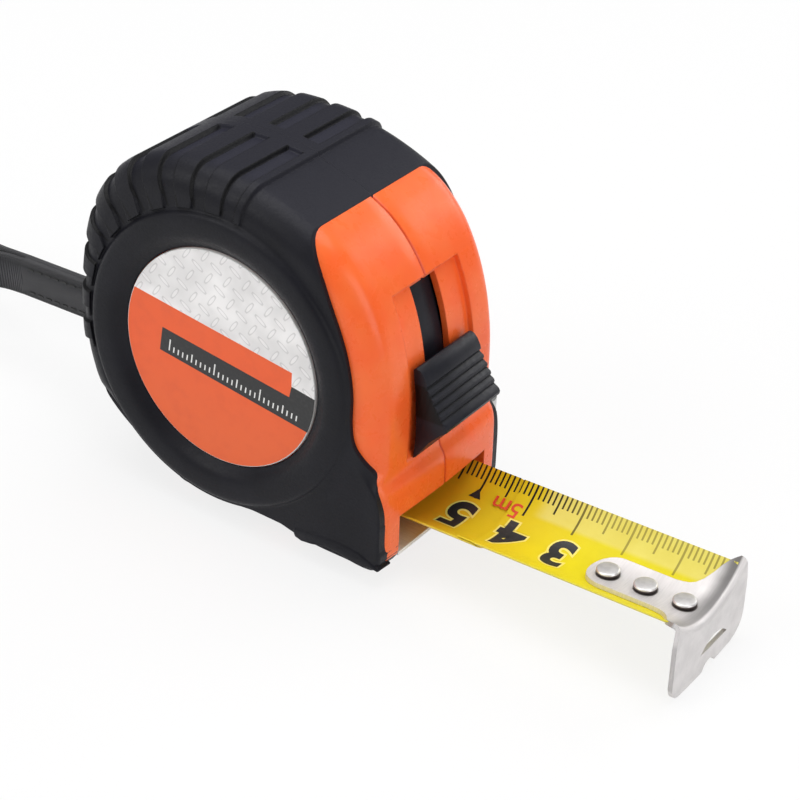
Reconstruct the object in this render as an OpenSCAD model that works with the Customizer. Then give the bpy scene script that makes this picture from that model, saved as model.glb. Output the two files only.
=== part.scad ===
// Pocket tape measure with an over-moulded case, thumb lock, end hook and wrist strap.
// Frame: origin on the base plane under the middle of the case, +X the way the blade comes out,
// +Z up, the round label on the -Y side and the belt clip on the +Y side. Millimetres.

/* [Case] */
// Half width of the orange shell
shell_half_width = 18.6; // [17:0.1:20]
// Half width of the rubber jackets
jacket_half_width = 20.5; // [19:0.1:22]

/* [Label] */
// Radius of the label disc
label_radius = 20.6; // [18:0.1:22]
// Outer radius of the raised ring round the label
ring_radius = 27.8; // [26:0.1:29]
// Distance of the ring crest from the middle plane
ring_crest = 21.1; // [20.6:0.1:22]
// Distance of the label face from the middle plane
label_face = 19.4; // [18.8:0.1:20]

/* [Blade] */
// Width of the blade laid flat
blade_width = 25; // [16:1:32]
// Radius of the cupped section, outside
blade_radius = 14.7; // [12:0.1:18]
// Thickness of the blade with its coating
blade_thick = 0.2; // [0.12:0.01:0.25]
// Height of the blade edges over the base
blade_edge_z = 9.3; // [8:0.1:11]
// Position of the hook's inner face, where the scale starts
hook_face_x = 86.5; // [60:0.5:100]

/* [Reel] */
// Outer radius of the wound blade
coil_radius = 22; // [20:0.1:23]
// Radius of the drum
drum_radius = 15; // [13:0.1:17]
// Radius of the reel flanges
flange_radius = 24.2; // [23:0.1:25]
// Radius of the spindle
spindle_radius = 4; // [3:0.1:5]
// Running clearance of the reel on the spindle
running_gap = 0.06; // [0.02:0.01:0.1]

/* [Hook] */
// Thickness of the hook plate
hook_thick = 0.8; // [0.6:0.1:1.2]
// Width of the hook plate
hook_width = 25; // [20:0.5:28]
// Lowest point of the hook under the base plane
hook_drop = 5.5; // [3:0.5:8]

/* [Lock] */
// Half width of the thumb button
button_half_width = 8.4; // [7:0.1:10]
// Half width of the lock strip in its slot
strip_half_width = 3.2; // [2:0.1:4]

/* [Strap] */
// Width of the wrist strap
strap_width = 7.6; // [6:0.2:12]
// Thickness of the wrist strap
strap_thick = 1.4; // [1:0.1:2]

/* [Hidden] */
$fn = 64;
// centre of the reel, seen from the side
reel_x = -1.25;
reel_z = 32.1;
mouth_half_width = 13.4;
mouth_top = 10.5;
pin_x = -26.4;
pin_z = 14.2;
pin_length = 12.4;
clip_z = 3.2;
clip_height = 12;
// wrist strap: middle height, where its sewn end stops, and the way its middle line goes
strap_z = 20.1;
strap_out_x = -64;
strap_marks = [
    [strap_out_x, -0.8, 20.1],
    [-71, -1.3, 19.6],
    [-79, -4.4, 17.6],
    [-89, -9, 14.4],
    [-99, -10.6, 11.9],
    [-107, -7.4, 11.3],
    [-110.5, 0, 11.4],
    [-107, 7.4, 11.3],
    [-99, 10.6, 11.9],
    [-89, 9, 14.4],
    [-79, 4.4, 17.6],
    [-71, 1.3, 19.6],
    [strap_out_x, 0.8, 20.1],
];
// a smooth run through the marks
function mark(p, i) = p[max(0, min(len(p) - 1, i))];
function between(p, i, t) =
    let (a = mark(p, i - 1), b = p[i], c = p[i + 1], d = mark(p, i + 2))
    0.5 * (2 * b + (c - a) * t + (2 * a - 5 * b + 4 * c - d) * t * t + (3 * b - a - 3 * c + d) * t * t * t);
function smooth_run(p, n) = concat(
    [for (i = [0:len(p) - 2], k = [0:n - 1]) between(p, i, k / n)],
    [p[len(p) - 1]]
);
strap_route = smooth_run(strap_marks, 3);

// grip ridges: the point they are set out from, the angle of the first from upright, their
// spacing, and how far each reaches
grip_x = -1;
grip_z = 33.6;
grip_start = -0.8;
grip_pitch = 12.4;
grip_top = [33.45, 34.55, 35.95, 36.5, 35.95, 34.7, 33.43, 32.87, 33.43, 35];
ridge_width = 4.1;
ridge_root = 28;
band_half_width = 2.2;
// narrow ridge in front of the first one
lead_angle = 9.8;
lead_top = 33.2;
function grip_point(a, r) = [grip_x + r * sin(a), grip_z + r * cos(a)];

// centre the lock turns about and the radius of the front face round it
lock_x = -30.8;
lock_z = 23.8;
front_r = 64.2;
// rivets along the hook's tongue
rivet_marks = [67.2, 74.5, 82];
// blade section
sec_angle = blade_width / blade_radius * 90 / PI;
sec_z = blade_edge_z + blade_radius * cos(sec_angle);
// side view of the case, going round from the front of the base
side_marks = [
    [22, 0],
    [31.5, 0],
    [34, 2.2],
    [34.1, 6],
    [34.1, 11],
    [34, 16.2],
    [32.4, 17.8],
    [32, 20.4],
    [32.3, 26],
    [32.2, 34],
    [30.9, 42],
    [28.3, 49.4],
    [24.7, 55.2],
    [19.6, 59.8],
    [15.2, 62.1],
    [9.4, 64.3],
    [3, 65.9],
    [-6, 66.6],
    [-14, 66.2],
    [-21.5, 63.2],
    [-27.6, 57.4],
    [-31.3, 49.6],
    [-32.8, 41],
    [-33.2, 31],
    [-33, 22],
    [-31.4, 15.4],
    [-26.4, 9.6],
    [-18, 4.4],
    [-12, 0.7],
    [-8, 0],
    [0, 0],
];
// outer face of the orange shell under the rubber
shell_marks = [
    [20, 2],
    [32.6, 2],
    [33.6, 2.6],
    [33.6, 10],
    [33.6, 15],
    [31.8, 18.4],
    [31.8, 26],
    [31.7, 34],
    [30.4, 42],
    [27.8, 49],
    [24.3, 54.7],
    [18.8, 59.3],
    [14.4, 60.6],
    [8.6, 62.8],
    [2.6, 64.2],
    [-6, 64.8],
    [-13.4, 64.4],
    [-20.2, 61.6],
    [-25.8, 56],
    [-29.4, 48.8],
    [-30.9, 40.7],
    [-31.2, 31],
    [-31, 22.4],
    [-29.6, 16.6],
    [-25, 11.2],
    [-17, 6.2],
    [-11, 2.6],
    [-7, 2],
    [0, 2],
];
// inside of the shell
room_marks = [
    [16, 3.4],
    [27.6, 3.4],
    [29.8, 5],
    [30, 10],
    [30, 16],
    [30.1, 22],
    [30, 29],
    [29, 36],
    [27, 43.4],
    [24.9, 49.2],
    [21.9, 54.6],
    [17, 58],
    [11.6, 59.4],
    [5, 61.4],
    [-5, 62.6],
    [-12.8, 62],
    [-18.8, 58.8],
    [-24, 53.6],
    [-27.4, 47.4],
    [-28.9, 40],
    [-29.2, 31],
    [-29, 23],
    [-27.8, 17.6],
    [-23.6, 12.6],
    [-15.8, 7.8],
    [-10.4, 4.2],
    [-6.6, 3.4],
];

// one round of corner cutting, which keeps straight runs straight
function cut(p) = [
    for (i = [0:len(p) - 1], k = [0:1])
        let (a = p[i], b = p[(i + 1) % len(p)])
        k == 0 ? a * 0.75 + b * 0.25 : a * 0.25 + b * 0.75
];
side = cut(side_marks);
side_in = cut(shell_marks);
side_room = cut(room_marks);

// a band standing on edge along a run of points: half height h, half thickness t
module band(p, h, t) {
    n = len(p);
    dirs = [for (i = [0:n - 1]) let (d = mark(p, i + 1) - mark(p, i - 1)) [d[1], -d[0], 0] / norm([d[0], d[1]])];
    rings = [
        for (i = [0:n - 1])
            for (c = [[1, 1], [1, -1], [-1, -1], [-1, 1]])
                p[i] + dirs[i] * t * c[0] + [0, 0, h * c[1]]
    ];
    walls = [
        for (i = [0:n - 2], k = [0:3])
            let (a = 4 * i + k, b = 4 * i + (k + 1) % 4)
            each [[a, b, b + 4], [a, b + 4, a + 4]]
    ];
    polyhedron(rings, concat([[3, 2, 1], [3, 1, 0]], walls, [
        [4 * n - 4, 4 * n - 3, 4 * n - 2],
        [4 * n - 4, 4 * n - 2, 4 * n - 1],
    ]));
}
// a slab between two y positions from a shape drawn as (x, z)
module slab(y0, y1) {
    translate([0, y1, 0])
        rotate([90, 0, 0])
            linear_extrude(height = y1 - y0)
                children();
}
// a round bar along Y
module bar(x, z, y0, y1, r) {
    translate([x, y0, z])
        rotate([-90, 0, 0])
            cylinder(r = r, h = y1 - y0);
}
module round_rect(x0, x1, y0, y1, r) {
    union() {
        translate([x0 + r, y0])
            square([x1 - x0 - 2 * r, y1 - y0]);
        translate([x0, y0 + r])
            square([x1 - x0, y1 - y0 - 2 * r]);
        for (x = [x0 + r, x1 - r])
            for (y = [y0 + r, y1 - r])
                translate([x, y])
                    circle(r = r - 0.01);
    }
}
// a block with rounded upright corners and rounded lengthwise edges
module soft_block(w, rf, rt) {
    intersection() {
        translate([0, 0, -1])
            linear_extrude(height = 72)
                round_rect(-33.9, 34.5, -w, w, rf);
        rotate([90, 0, 90])
            translate([0, 0, -36])
                linear_extrude(height = 72)
                    round_rect(-w, w, -0.2, 69, rt);
    }
}
// front part of the side view, left free of rubber
module front_window() {
    polygon([
        [15.6, 80],
        [15.6, 61.4],
        [18.6, 59],
        [21.9, 50.8],
        [24.4, 45.6],
        [25.9, 40],
        [26.6, 34],
        [26.2, 26],
        [29.6, 22],
        [33.2, 17.2],
        [33.2, 2.6],
        [40, 2.6],
        [40, 80],
    ]);
}

// ---------------------------------------------------------------- case

module shell_body() {
    intersection() {
        soft_block(19.4, 4.6, 6);
        union() {
            slab(-shell_half_width, 0)
                polygon(side_in);
            slab(-19.3, 0)
                intersection() {
                    polygon(side);
                    front_window();
                }
        }
    }
}
// everything cut away from one half, before the screw bosses go in
module shell_room() {
    slab(-16.4, 0.5)
        polygon(side_room);
    // mouth
    translate([12.2, -mouth_half_width, 1.9])
        cube([26, mouth_half_width + 0.5, mouth_top - 1.9]);
    // slot of the lock
    translate([22, -strip_half_width - 0.4, 22])
        cube([16, 4, 26.9]);
}
module boss_set(y0, y1, r) {
    bar(-23, 13.3, y0, y1, r);
    bar(-20.8, 55.8, y0, y1, r);
    bar(15.2, 57, y0, y1, r);
    bar(18.6, 13.2, y0, y1, r);
}
module shell_half() {
    difference() {
        union() {
            difference() {
                shell_body();
                shell_room();
            }
            boss_set(-17, 0, 2.3);
            // block that holds the strap pin
            intersection() {
                slab(-5, 0)
                    polygon(side_in);
                translate([-28.6, -5, 13])
                    cube([5, 5, 15]);
            }
        }
        bar(reel_x, reel_z, -30, -17, label_radius + 0.15);
        // strap pocket and pin
        translate([-33, -2.5, 14.9])
            cube([9.1, 3, 10.4]);
        translate([pin_x, 0, pin_z])
            cylinder(r = 1, h = pin_length);
        bar(reel_x, reel_z, -18, -16, spindle_radius);
    }
}
module label_case_half() {
    color([0.93, 0.33, 0.13])
        difference() {
            shell_half();
            boss_set(-14, 0.5, 0.95);
        }
}
module clip_case_half() {
    color([0.93, 0.33, 0.13])
        difference() {
            mirror([0, 1, 0])
                difference() {
                    shell_half();
                    boss_set(-30, 0.5, 1.15);
                    boss_set(-30, -16.6, 2.1);
                }
            bar(19, 9.2, 15, 20, 1.12);
        }
}

// rubber jacket on the -Y side
module jacket_skin() {
    intersection() {
        soft_block(jacket_half_width, 4.4, 6.4);
        difference() {
            slab(-jacket_half_width, 0)
                polygon(side);
            slab(-shell_half_width, 1)
                polygon(side_in);
            slab(-30, 1)
                front_window();
            // room for the wear plate and the mouth
            translate([12.2, -mouth_half_width, 2])
                cube([26, mouth_half_width + 1, mouth_top - 2]);
        }
    }
}
// grip ribs across the top and down the back
module rib_set() {
    slab(-17.4, -band_half_width)
        difference() {
            union() {
                for (i = [0:9])
                    translate([grip_x, grip_z])
                        rotate(i * grip_pitch - grip_start)
                            translate([-ridge_width / 2, ridge_root])
                                square([ridge_width, grip_top[i] - ridge_root]);
                translate([grip_x, grip_z])
                    rotate(-lead_angle)
                        translate([-ridge_width / 4, ridge_root])
                            square([ridge_width / 2, lead_top - ridge_root]);
            }
            polygon(side);
        }
    // band along the middle
    slab(-band_half_width - 0.1, 0)
        difference() {
            polygon(concat(
                [grip_point(lead_angle, lead_top - 0.04)],
                [for (i = [0:8]) grip_point(grip_start - i * grip_pitch, grip_top[i] - 0.04)],
                [for (i = [8:-1:0]) grip_point(grip_start - i * grip_pitch, ridge_root)],
                [grip_point(lead_angle, ridge_root)]
            ));
            polygon(side);
        }
}
module ring() {
    translate([reel_x, 0, reel_z])
        rotate([90, 0, 0])
            rotate_extrude()
                polygon([
                    [label_radius + 0.1, 18.7],
                    [label_radius + 0.1, 19.9],
                    [22.8, ring_crest - 0.2],
                    [23.6, ring_crest],
                    [25, ring_crest],
                    [26, ring_crest - 0.15],
                    [ring_radius, jacket_half_width - 0.1],
                    [ring_radius, 18.7],
                ]);
}
module jacket_half() {
    difference() {
        union() {
            jacket_skin();
            intersection() {
                ring();
                slab(-30, 0)
                    difference() {
                        polygon(side);
                        front_window();
                    }
            }
        }
        bar(reel_x, reel_z, -30, -18, label_radius + 0.1);
        // strap outlet
        translate([-36, -1.65, 14.9])
            cube([12, 3, 10.4]);
    }
}
module label_side_jacket() {
    color([0.13, 0.13, 0.15])
        jacket_half();
}
module clip_side_jacket() {
    color([0.13, 0.13, 0.15])
        difference() {
            mirror([0, 1, 0])
                jacket_half();
            mirror([0, 1, 0])
                boss_set(-30, -16.6, 2.1);
            // flat seat of the belt clip
            translate([7, jacket_half_width, 2])
                cube([28, 5, 14]);
            bar(19, 9.2, 15, 22, 1.12);
        }
}
// raised grip panels over the top and back, one set each side of the middle band
module label_side_grip() {
    color([0.15, 0.15, 0.17])
        rib_set();
}
module clip_side_grip() {
    color([0.15, 0.15, 0.17])
        mirror([0, 1, 0])
            rib_set();
}
module label_disc() {
    color([0.82, 0.3, 0.16])
        bar(reel_x, reel_z, -label_face, -17.02, label_radius);
}
module clip_side_disc() {
    color([0.82, 0.3, 0.16])
        bar(reel_x, reel_z, 17.02, label_face, label_radius);
}
module mouth_plate() {
    color([0.72, 0.73, 0.72])
        translate([12.4, -13.1, 2])
            cube([20.6, 26.2, 0.7]);
}
module case_screws() {
    color([0.3, 0.3, 0.32])
        mirror([0, 1, 0])
            difference() {
                union() {
                    boss_set(-16.6, 11, 0.95);
                    boss_set(-18, -16.6, 1.95);
                }
                boss_set(-18.6, -17.4, 0.7);
            }
}
module spindle() {
    color([0.7, 0.7, 0.72])
        difference() {
            bar(reel_x, reel_z, -17, 17, spindle_radius);
            translate([reel_x - 0.4, -11, reel_z - 5])
                cube([0.8, 22, 5]);
        }
}
module spindle_washers() {
    color([0.85, 0.85, 0.83])
        for (y = [-16.2, 14.2])
            difference() {
                bar(reel_x, reel_z, y, y + 2, 6.4);
                bar(reel_x, reel_z, y - 1, y + 3, spindle_radius + 0.01);
            }
}

// ---------------------------------------------------------------- reel

module reel_drum() {
    color([0.2, 0.2, 0.22])
        difference() {
            bar(reel_x, reel_z, -12.6, 12.6, drum_radius);
            bar(reel_x, reel_z, -13, 13, drum_radius - 1.4);
        }
}
module flange(y) {
    difference() {
        bar(reel_x, reel_z, y, y + 1, flange_radius);
        bar(reel_x, reel_z, y - 1, y + 2, spindle_radius + running_gap);
        for (a = [0:60:300])
            bar(reel_x + 18.6 * cos(a), reel_z + 18.6 * sin(a), y - 1, y + 2, 2.2);
    }
}
module label_side_flange() {
    color([0.2, 0.2, 0.22])
        flange(-13.6);
}
module clip_side_flange() {
    color([0.2, 0.2, 0.22])
        flange(12.6);
}
module blade_coil() {
    color([0.93, 0.78, 0.16])
        difference() {
            bar(reel_x, reel_z, -12.5, 12.5, coil_radius);
            bar(reel_x, reel_z, -13, 13, drum_radius);
        }
}
// flat spiral spring inside the drum
function spiral(t, d) = let (r = 5.2 + 7.2 * t + d) [r * cos(t * 1980), r * sin(t * 1980)];
module mainspring() {
    color([0.45, 0.46, 0.5])
        translate([reel_x, 0, reel_z])
            rotate([90, 0, 0])
                linear_extrude(height = 20, center = true)
                    polygon(concat(
                        [for (i = [0:110]) spiral(i / 110, 0.25)],
                        [for (i = [110:-1:0]) spiral(i / 110, -0.25)]
                    ));
}
module spring_clip() {
    color([0.6, 0.6, 0.62])
        translate([reel_x, 0, reel_z])
            rotate([0, -180, 0])
                translate([12.7, -4, -1.6])
                    cube([0.8, 8, 3.2]);
}

// ---------------------------------------------------------------- blade

module strip(x0, x1, ro, ri) {
    translate([x0, 0, sec_z])
        rotate([90, 0, 90])
            linear_extrude(height = x1 - x0)
                intersection() {
                    difference() {
                        circle(r = ro);
                        circle(r = ri);
                    }
                    polygon([
                        [0, 0],
                        [-30 * sin(sec_angle), -30 * cos(sec_angle)],
                        [0, -60],
                        [30 * sin(sec_angle), -30 * cos(sec_angle)],
                    ]);
                }
}
module rivet_row(z0, z1, r) {
    for (x = rivet_marks)
        translate([x, 0, z0])
            cylinder(r = r, h = z1 - z0);
}
module blade_front() {
    color([0.93, 0.78, 0.16])
        difference() {
            strip(43.5, hook_face_x - 0.6, blade_radius, blade_radius - blade_thick);
            rivet_row(0, 8, 1);
        }
}
module blade_feed() {
    color([0.88, 0.72, 0.14])
        strip(25.4, 46.5, blade_radius + 0.26, blade_radius + 0.08);
}
// hook tongue lies in the cup of the blade and bends down at the scale's zero
module hook_tongue() {
    intersection() {
        difference() {
            strip(63.6, hook_face_x + 0.8, blade_radius - blade_thick - 0.05,
                blade_radius - blade_thick - 0.05 - hook_thick);
            for (x = rivet_marks)
                for (d = [-0.5, 0.5])
                    translate([x + d, 0, 0])
                        cylinder(r = 1.15, h = 9);
            for (x = rivet_marks)
                translate([x - 0.5, -1.15, 0])
                    cube([1, 2.3, 9]);
        }
        linear_extrude(height = 14)
            union() {
                translate([68.1, 0])
                    circle(r = 4.5);
                translate([68.1, -4.5])
                    square([14, 9]);
                polygon([
                    [76.6, -4.5],
                    [80.8, -6.5],
                    [84, -11.6],
                    [90, -11.6],
                    [90, 11.6],
                    [84, 11.6],
                    [80.8, 6.5],
                    [76.6, 4.5],
                ]);
            }
    }
}
module hook_plate() {
    translate([hook_face_x, 0, 0])
        rotate([90, 0, 90])
            linear_extrude(height = hook_thick)
                difference() {
                    polygon([
                        [-hook_width / 2, 10.1],
                        [-hook_width / 2, -2.4],
                        [-hook_width / 2 + 0.4, -3.9],
                        [-hook_width / 2 + 1.2, -4.9],
                        [-hook_width / 2 + 2.4, -5.4],
                        [-7, -hook_drop],
                        [-2.5, -hook_drop],
                        [3.6, -hook_drop + 0.2],
                        [8.2, -5],
                        [hook_width / 2 - 1.9, -4.2],
                        [hook_width / 2 - 0.6, -2.8],
                        [hook_width / 2, -0.8],
                        [hook_width / 2, 10.1],
                    ]);
                    translate([0, sec_z])
                        circle(r = blade_radius - blade_thick - hook_thick - 0.04);
                    // half-moon window over the bottom edge
                    intersection() {
                        translate([1.8, -5.7])
                            circle(r = 6.3);
                        translate([-4, -1.5])
                            square([12, 4]);
                    }
                    translate([0.6, -6.4])
                        circle(r = 2.4);
                }
}
module end_hook() {
    color([0.75, 0.75, 0.73])
        union() {
            hook_tongue();
            hook_plate();
        }
}
module hook_rivets() {
    color([0.8, 0.8, 0.78])
        union() {
            rivet_row(3.75, 5.85, 0.98);
            rivet_row(5.85, 6.6, 1.9);
            rivet_row(3.4, 4.28, 1.7);
        }
}

// ---------------------------------------------------------------- lock

module lock_arc(r1, r0, a0, a1, w) {
    translate([lock_x, 0, lock_z])
        rotate([90, 0, 0])
            rotate([0, 0, a0])
                translate([0, 0, -w])
                    rotate_extrude(angle = a1 - a0, $fn = 96)
                        translate([r0, 0])
                            square([r1 - r0, 2 * w]);
}
module lock_strip() {
    color([0.15, 0.15, 0.16])
        union() {
            lock_arc(60.2, 59.4, -10.4, 24, 8);
            lock_arc(60.6, 60.1, -6, 23.2, strip_half_width);
        }
}
module lock_button() {
    color([0.16, 0.16, 0.17])
        difference() {
            slab(-button_half_width, button_half_width)
                polygon([
                    [31.9, 19.2],
                    [35, 23.6],
                    [38, 26],
                    [38.6, 27],
                    [37.4, 29.2],
                    [37.5, 29.9],
                    [36.2, 30.8],
                    [36.3, 31.6],
                    [35, 32.5],
                    [35.1, 33.3],
                    [34.1, 34],
                    [33.6, 36.2],
                    [32.6, 36.8],
                    [31.2, 36.6],
                ]);
            // clear of the curved front
            translate([lock_x, 0, lock_z])
                rotate([90, 0, 0])
                    cylinder(r = front_r + 0.35, h = 40, center = true, $fn = 128);
        }
}
module lock_neck() {
    color([0.16, 0.16, 0.17])
        lock_arc(front_r + 0.34, 60.61, -1.6, 9.6, strip_half_width - 0.3);
}
// shoe with a leg each side of the hook's tongue, hanging from the strip
module brake_shoe() {
    color([0.2, 0.2, 0.2])
        intersection() {
            difference() {
                translate([23.6, -10.5, 6])
                    cube([6, 21, 9.5]);
                translate([20, 0, sec_z])
                    rotate([0, 90, 0])
                        difference() {
                            cylinder(r = 30, h = 12);
                            translate([0, 0, -1])
                                cylinder(r = blade_radius - blade_thick - 0.25, h = 14);
                        }
                translate([20, -7, 4])
                    cube([12, 14, 7.6]);
            }
            translate([lock_x, 0, lock_z])
                rotate([90, 0, 0])
                    cylinder(r = 59.38, h = 40, center = true, $fn = 128);
        }
}

// ---------------------------------------------------------------- clip and strap

module belt_clip() {
    color([0.6, 0.6, 0.62])
        difference() {
            union() {
                // leaf against the case
                translate([8, jacket_half_width, clip_z])
                    cube([19.5, 0.7, clip_height]);
                // bend
                translate([27.5, jacket_half_width + 2, clip_z])
                    difference() {
                        cylinder(r = 2, h = clip_height);
                        translate([0, 0, -1])
                            cylinder(r = 1.3, h = clip_height + 2);
                        translate([-4, -4, -1])
                            cube([4, 8, clip_height + 2]);
                    }
                // outer leaf, turned in at its free end
                translate([-15, jacket_half_width + 3.3, clip_z])
                    cube([42.5, 0.7, clip_height]);
                translate([-15, jacket_half_width + 0.4, clip_z])
                    cube([0.7, 3, clip_height]);
            }
            bar(19, 9.2, 19, 21.4, 1.15);
            bar(19, 9.2, 23, 26, 2.6);
        }
}
module clip_screw() {
    color([0.3, 0.3, 0.32])
        union() {
            bar(19, 9.2, 14.4, 21.3, 1.1);
            bar(19, 9.2, 21.2, 22.3, 2.2);
        }
}
module strap_pin() {
    color([0.6, 0.6, 0.62])
        translate([pin_x, 0, pin_z])
            cylinder(r = 1, h = pin_length);
}
// stitched eye round the pin, with both tails reaching the outlet
module strap_eye() {
    color([0.14, 0.14, 0.15])
        translate([0, 0, strap_z - strap_width / 2])
            linear_extrude(height = strap_width)
                difference() {
                    union() {
                        translate([pin_x, 0])
                            circle(r = 2.2);
                        translate([strap_out_x, -1.5])
                            square([pin_x - strap_out_x, 3]);
                    }
                    translate([pin_x, 0])
                        circle(r = 1.01);
                }
}
// one closed band that leaves the outlet, loops round and comes back
module wrist_strap() {
    color([0.14, 0.14, 0.15])
        band(strap_route, strap_width / 2, strap_thick / 2);
}

label_case_half();
clip_case_half();
label_side_jacket();
clip_side_jacket();
label_side_grip();
clip_side_grip();
label_disc();
clip_side_disc();
mouth_plate();
case_screws();
spindle();
spindle_washers();
reel_drum();
label_side_flange();
clip_side_flange();
blade_coil();
mainspring();
spring_clip();
blade_front();
blade_feed();
end_hook();
hook_rivets();
lock_strip();
lock_button();
lock_neck();
brake_shoe();
belt_clip();
clip_screw();
strap_pin();
strap_eye();
wrist_strap();
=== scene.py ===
"""Looks of a pocket tape measure: rubber jackets, orange shell, blade, hook, lock and strap."""
import math
from contextlib import contextmanager
import bpy
import numpy as np
from mathutils import Matrix, Vector


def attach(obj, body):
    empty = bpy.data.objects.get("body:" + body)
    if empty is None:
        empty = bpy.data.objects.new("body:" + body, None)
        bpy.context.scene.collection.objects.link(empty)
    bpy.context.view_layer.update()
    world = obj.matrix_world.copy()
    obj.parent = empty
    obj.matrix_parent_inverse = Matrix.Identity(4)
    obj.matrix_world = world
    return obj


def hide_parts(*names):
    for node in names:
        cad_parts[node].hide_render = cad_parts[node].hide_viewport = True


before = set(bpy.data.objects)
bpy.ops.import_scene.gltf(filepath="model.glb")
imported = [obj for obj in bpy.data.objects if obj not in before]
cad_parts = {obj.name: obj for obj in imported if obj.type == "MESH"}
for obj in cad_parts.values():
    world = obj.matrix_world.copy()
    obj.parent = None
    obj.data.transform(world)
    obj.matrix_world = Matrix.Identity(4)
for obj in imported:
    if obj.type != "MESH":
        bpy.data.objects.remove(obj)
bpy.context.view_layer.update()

bl_info = {
    "name": "Pocket tape measure",
    "version": (1, 0, 0),
    "blender": (4, 5, 0),
    "location": "View3D > Sidebar > Tape Measure",
    "description": "Builds the pieces and finishes of a pocket tape measure on its packed frame",
    "category": "Object",
}

MM = 0.001

# the point the case is drawn round and the middle of the reel, seen from the side, in millimetres
HUB = np.array([-1.0, 33.6])
REEL = np.array([-1.25, 32.1])
# side view of the case, going round from the front of the base
SIDE_MARKS = [
    (22, 0), (31.3, 0), (33.6, 2.2), (33.7, 6), (33.7, 11), (33.6, 16.2), (32.2, 17.8), (32, 20.4),
    (32.3, 26), (32.2, 34), (30.9, 42), (28.3, 49.4), (24.7, 55.2), (19.6, 59.8), (15.2, 62.1),
    (9.4, 64.3), (3, 65.9), (-6, 66.6), (-14, 66.2), (-21.5, 63.2), (-27.6, 57.4), (-31.3, 49.6),
    (-32.7, 41), (-33, 31), (-33, 22), (-31.5, 15.3), (-26.5, 9.5), (-18, 4.4), (-12, 0.7),
    (-8, 0), (0, 0),
]
# edge of the rubber where the orange front shows, in the same view
WINDOW_MARKS = [
    (15.8, 84), (15.8, 66), (15.8, 63.2), (16.5, 61.0), (18.4, 58.2), (20.7, 54.2), (22.4, 50),
    (24.4, 45.2), (25.9, 40), (26.7, 34.4), (26.5, 29.6), (26.9, 25.4), (28.8, 22.8),
    (30.8, 20.2), (31.7, 18.4), (32.6, 16.6), (33.2, 14.6), (33.5, 12), (33.5, 9), (33.5, 4.6),
    (33.95, 4), (44, 4), (44, 84),
]


# ---------------------------------------------------------------- making meshes

def deselect():
    bpy.ops.object.select_all(action="DESELECT")


def only(piece):
    deselect()
    piece.select_set(True)
    bpy.context.view_layer.objects.active = piece


@contextmanager
def edit_mode(piece):
    """Edit mode with the whole mesh selected."""
    only(piece)
    bpy.ops.object.mode_set(mode="EDIT")
    bpy.ops.mesh.select_all(action="SELECT")
    yield
    bpy.ops.object.mode_set(mode="OBJECT")


def apply_modifier(piece, kind, **settings):
    step = piece.modifiers.new(kind.lower(), kind)
    for key, value in settings.items():
        setattr(step, key, value)
    only(piece)
    bpy.ops.object.modifier_apply(modifier=step.name)


def set_points(piece, points):
    """Puts the mesh points, given in millimetres, where they belong."""
    piece.data.vertices.foreach_set("co", (np.asarray(points, float) * MM).ravel())
    piece.data.update()


def points_of(piece):
    found = np.empty(len(piece.data.vertices) * 3)
    piece.data.vertices.foreach_get("co", found)
    return found.reshape(-1, 3)


def close_up(piece, merge=True):
    """Merges the meeting edges and turns the faces outwards."""
    with edit_mode(piece):
        if merge:
            bpy.ops.mesh.remove_doubles(threshold=2e-6)
        bpy.ops.mesh.normals_make_consistent(inside=False)


def soften(piece, degrees=38):
    only(piece)
    bpy.ops.object.shade_smooth_by_angle(angle=math.radians(degrees))


def sheet_of(name, grid, merge=True):
    """A grid primitive laid over the points grid[i, j] = (x, y, z)."""
    grid = np.asarray(grid, float)
    rows, columns = grid.shape[:2]
    deselect()
    bpy.ops.mesh.primitive_grid_add(x_subdivisions=rows - 1, y_subdivisions=columns - 1, size=1)
    piece = bpy.context.object
    piece.name = name
    at = points_of(piece)
    i = np.rint((at[:, 0] + 0.5) * (rows - 1)).astype(int)
    j = np.rint((at[:, 1] + 0.5) * (columns - 1)).astype(int)
    set_points(piece, grid[i, j])
    if merge:
        close_up(piece)
    return piece


def prism(name, outline, start, end, axis="y"):
    """A flat shape, drawn in the two other axes, extruded along one axis."""
    deselect()
    bpy.ops.mesh.primitive_circle_add(vertices=len(outline), fill_type="NGON", radius=1)
    piece = bpy.context.object
    piece.name = name
    k = "xyz".index(axis)
    set_points(piece, [np.insert(np.array(p, float), k, start) for p in outline])
    way = [0, 0, 0]
    way[k] = (end - start) * MM
    with edit_mode(piece):
        bpy.ops.mesh.extrude_region_move(TRANSFORM_OT_translate={"value": way})
    close_up(piece, merge=False)
    return piece


def arc(middle, radius, start, end, points):
    """Points on an arc, angles up from the first axis."""
    return [(middle[0] + radius * math.cos(a), middle[1] + radius * math.sin(a))
            for a in np.radians(np.linspace(start, end, points))]


def rod(name, foot, axis, radius, length, sides=48, taper=1.0):
    """A round bar or cone from its foot along an axis, with its place in its mesh."""
    deselect()
    bpy.ops.mesh.primitive_cone_add(
        vertices=sides, radius1=radius * MM, radius2=radius * taper * MM, depth=length * MM,
        end_fill_type="NGON")
    piece = bpy.context.object
    piece.name = name
    turn = Vector((0, 0, 1)).rotation_difference(Vector(axis)).to_matrix().to_4x4()
    middle = Vector(foot) * MM + Vector(axis).normalized() * length * MM / 2
    piece.data.transform(Matrix.Translation(middle) @ turn)
    return piece


def cut_out(piece, cutter, solver="EXACT"):
    apply_modifier(piece, "BOOLEAN", operation="DIFFERENCE", solver=solver, object=cutter)
    bpy.data.objects.remove(cutter, do_unlink=True)


def bevelled(piece, width, segments=3, degrees=30):
    apply_modifier(piece, "BEVEL", width=width * MM, segments=segments, limit_method="ANGLE",
                   angle_limit=math.radians(degrees), harden_normals=False)


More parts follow.
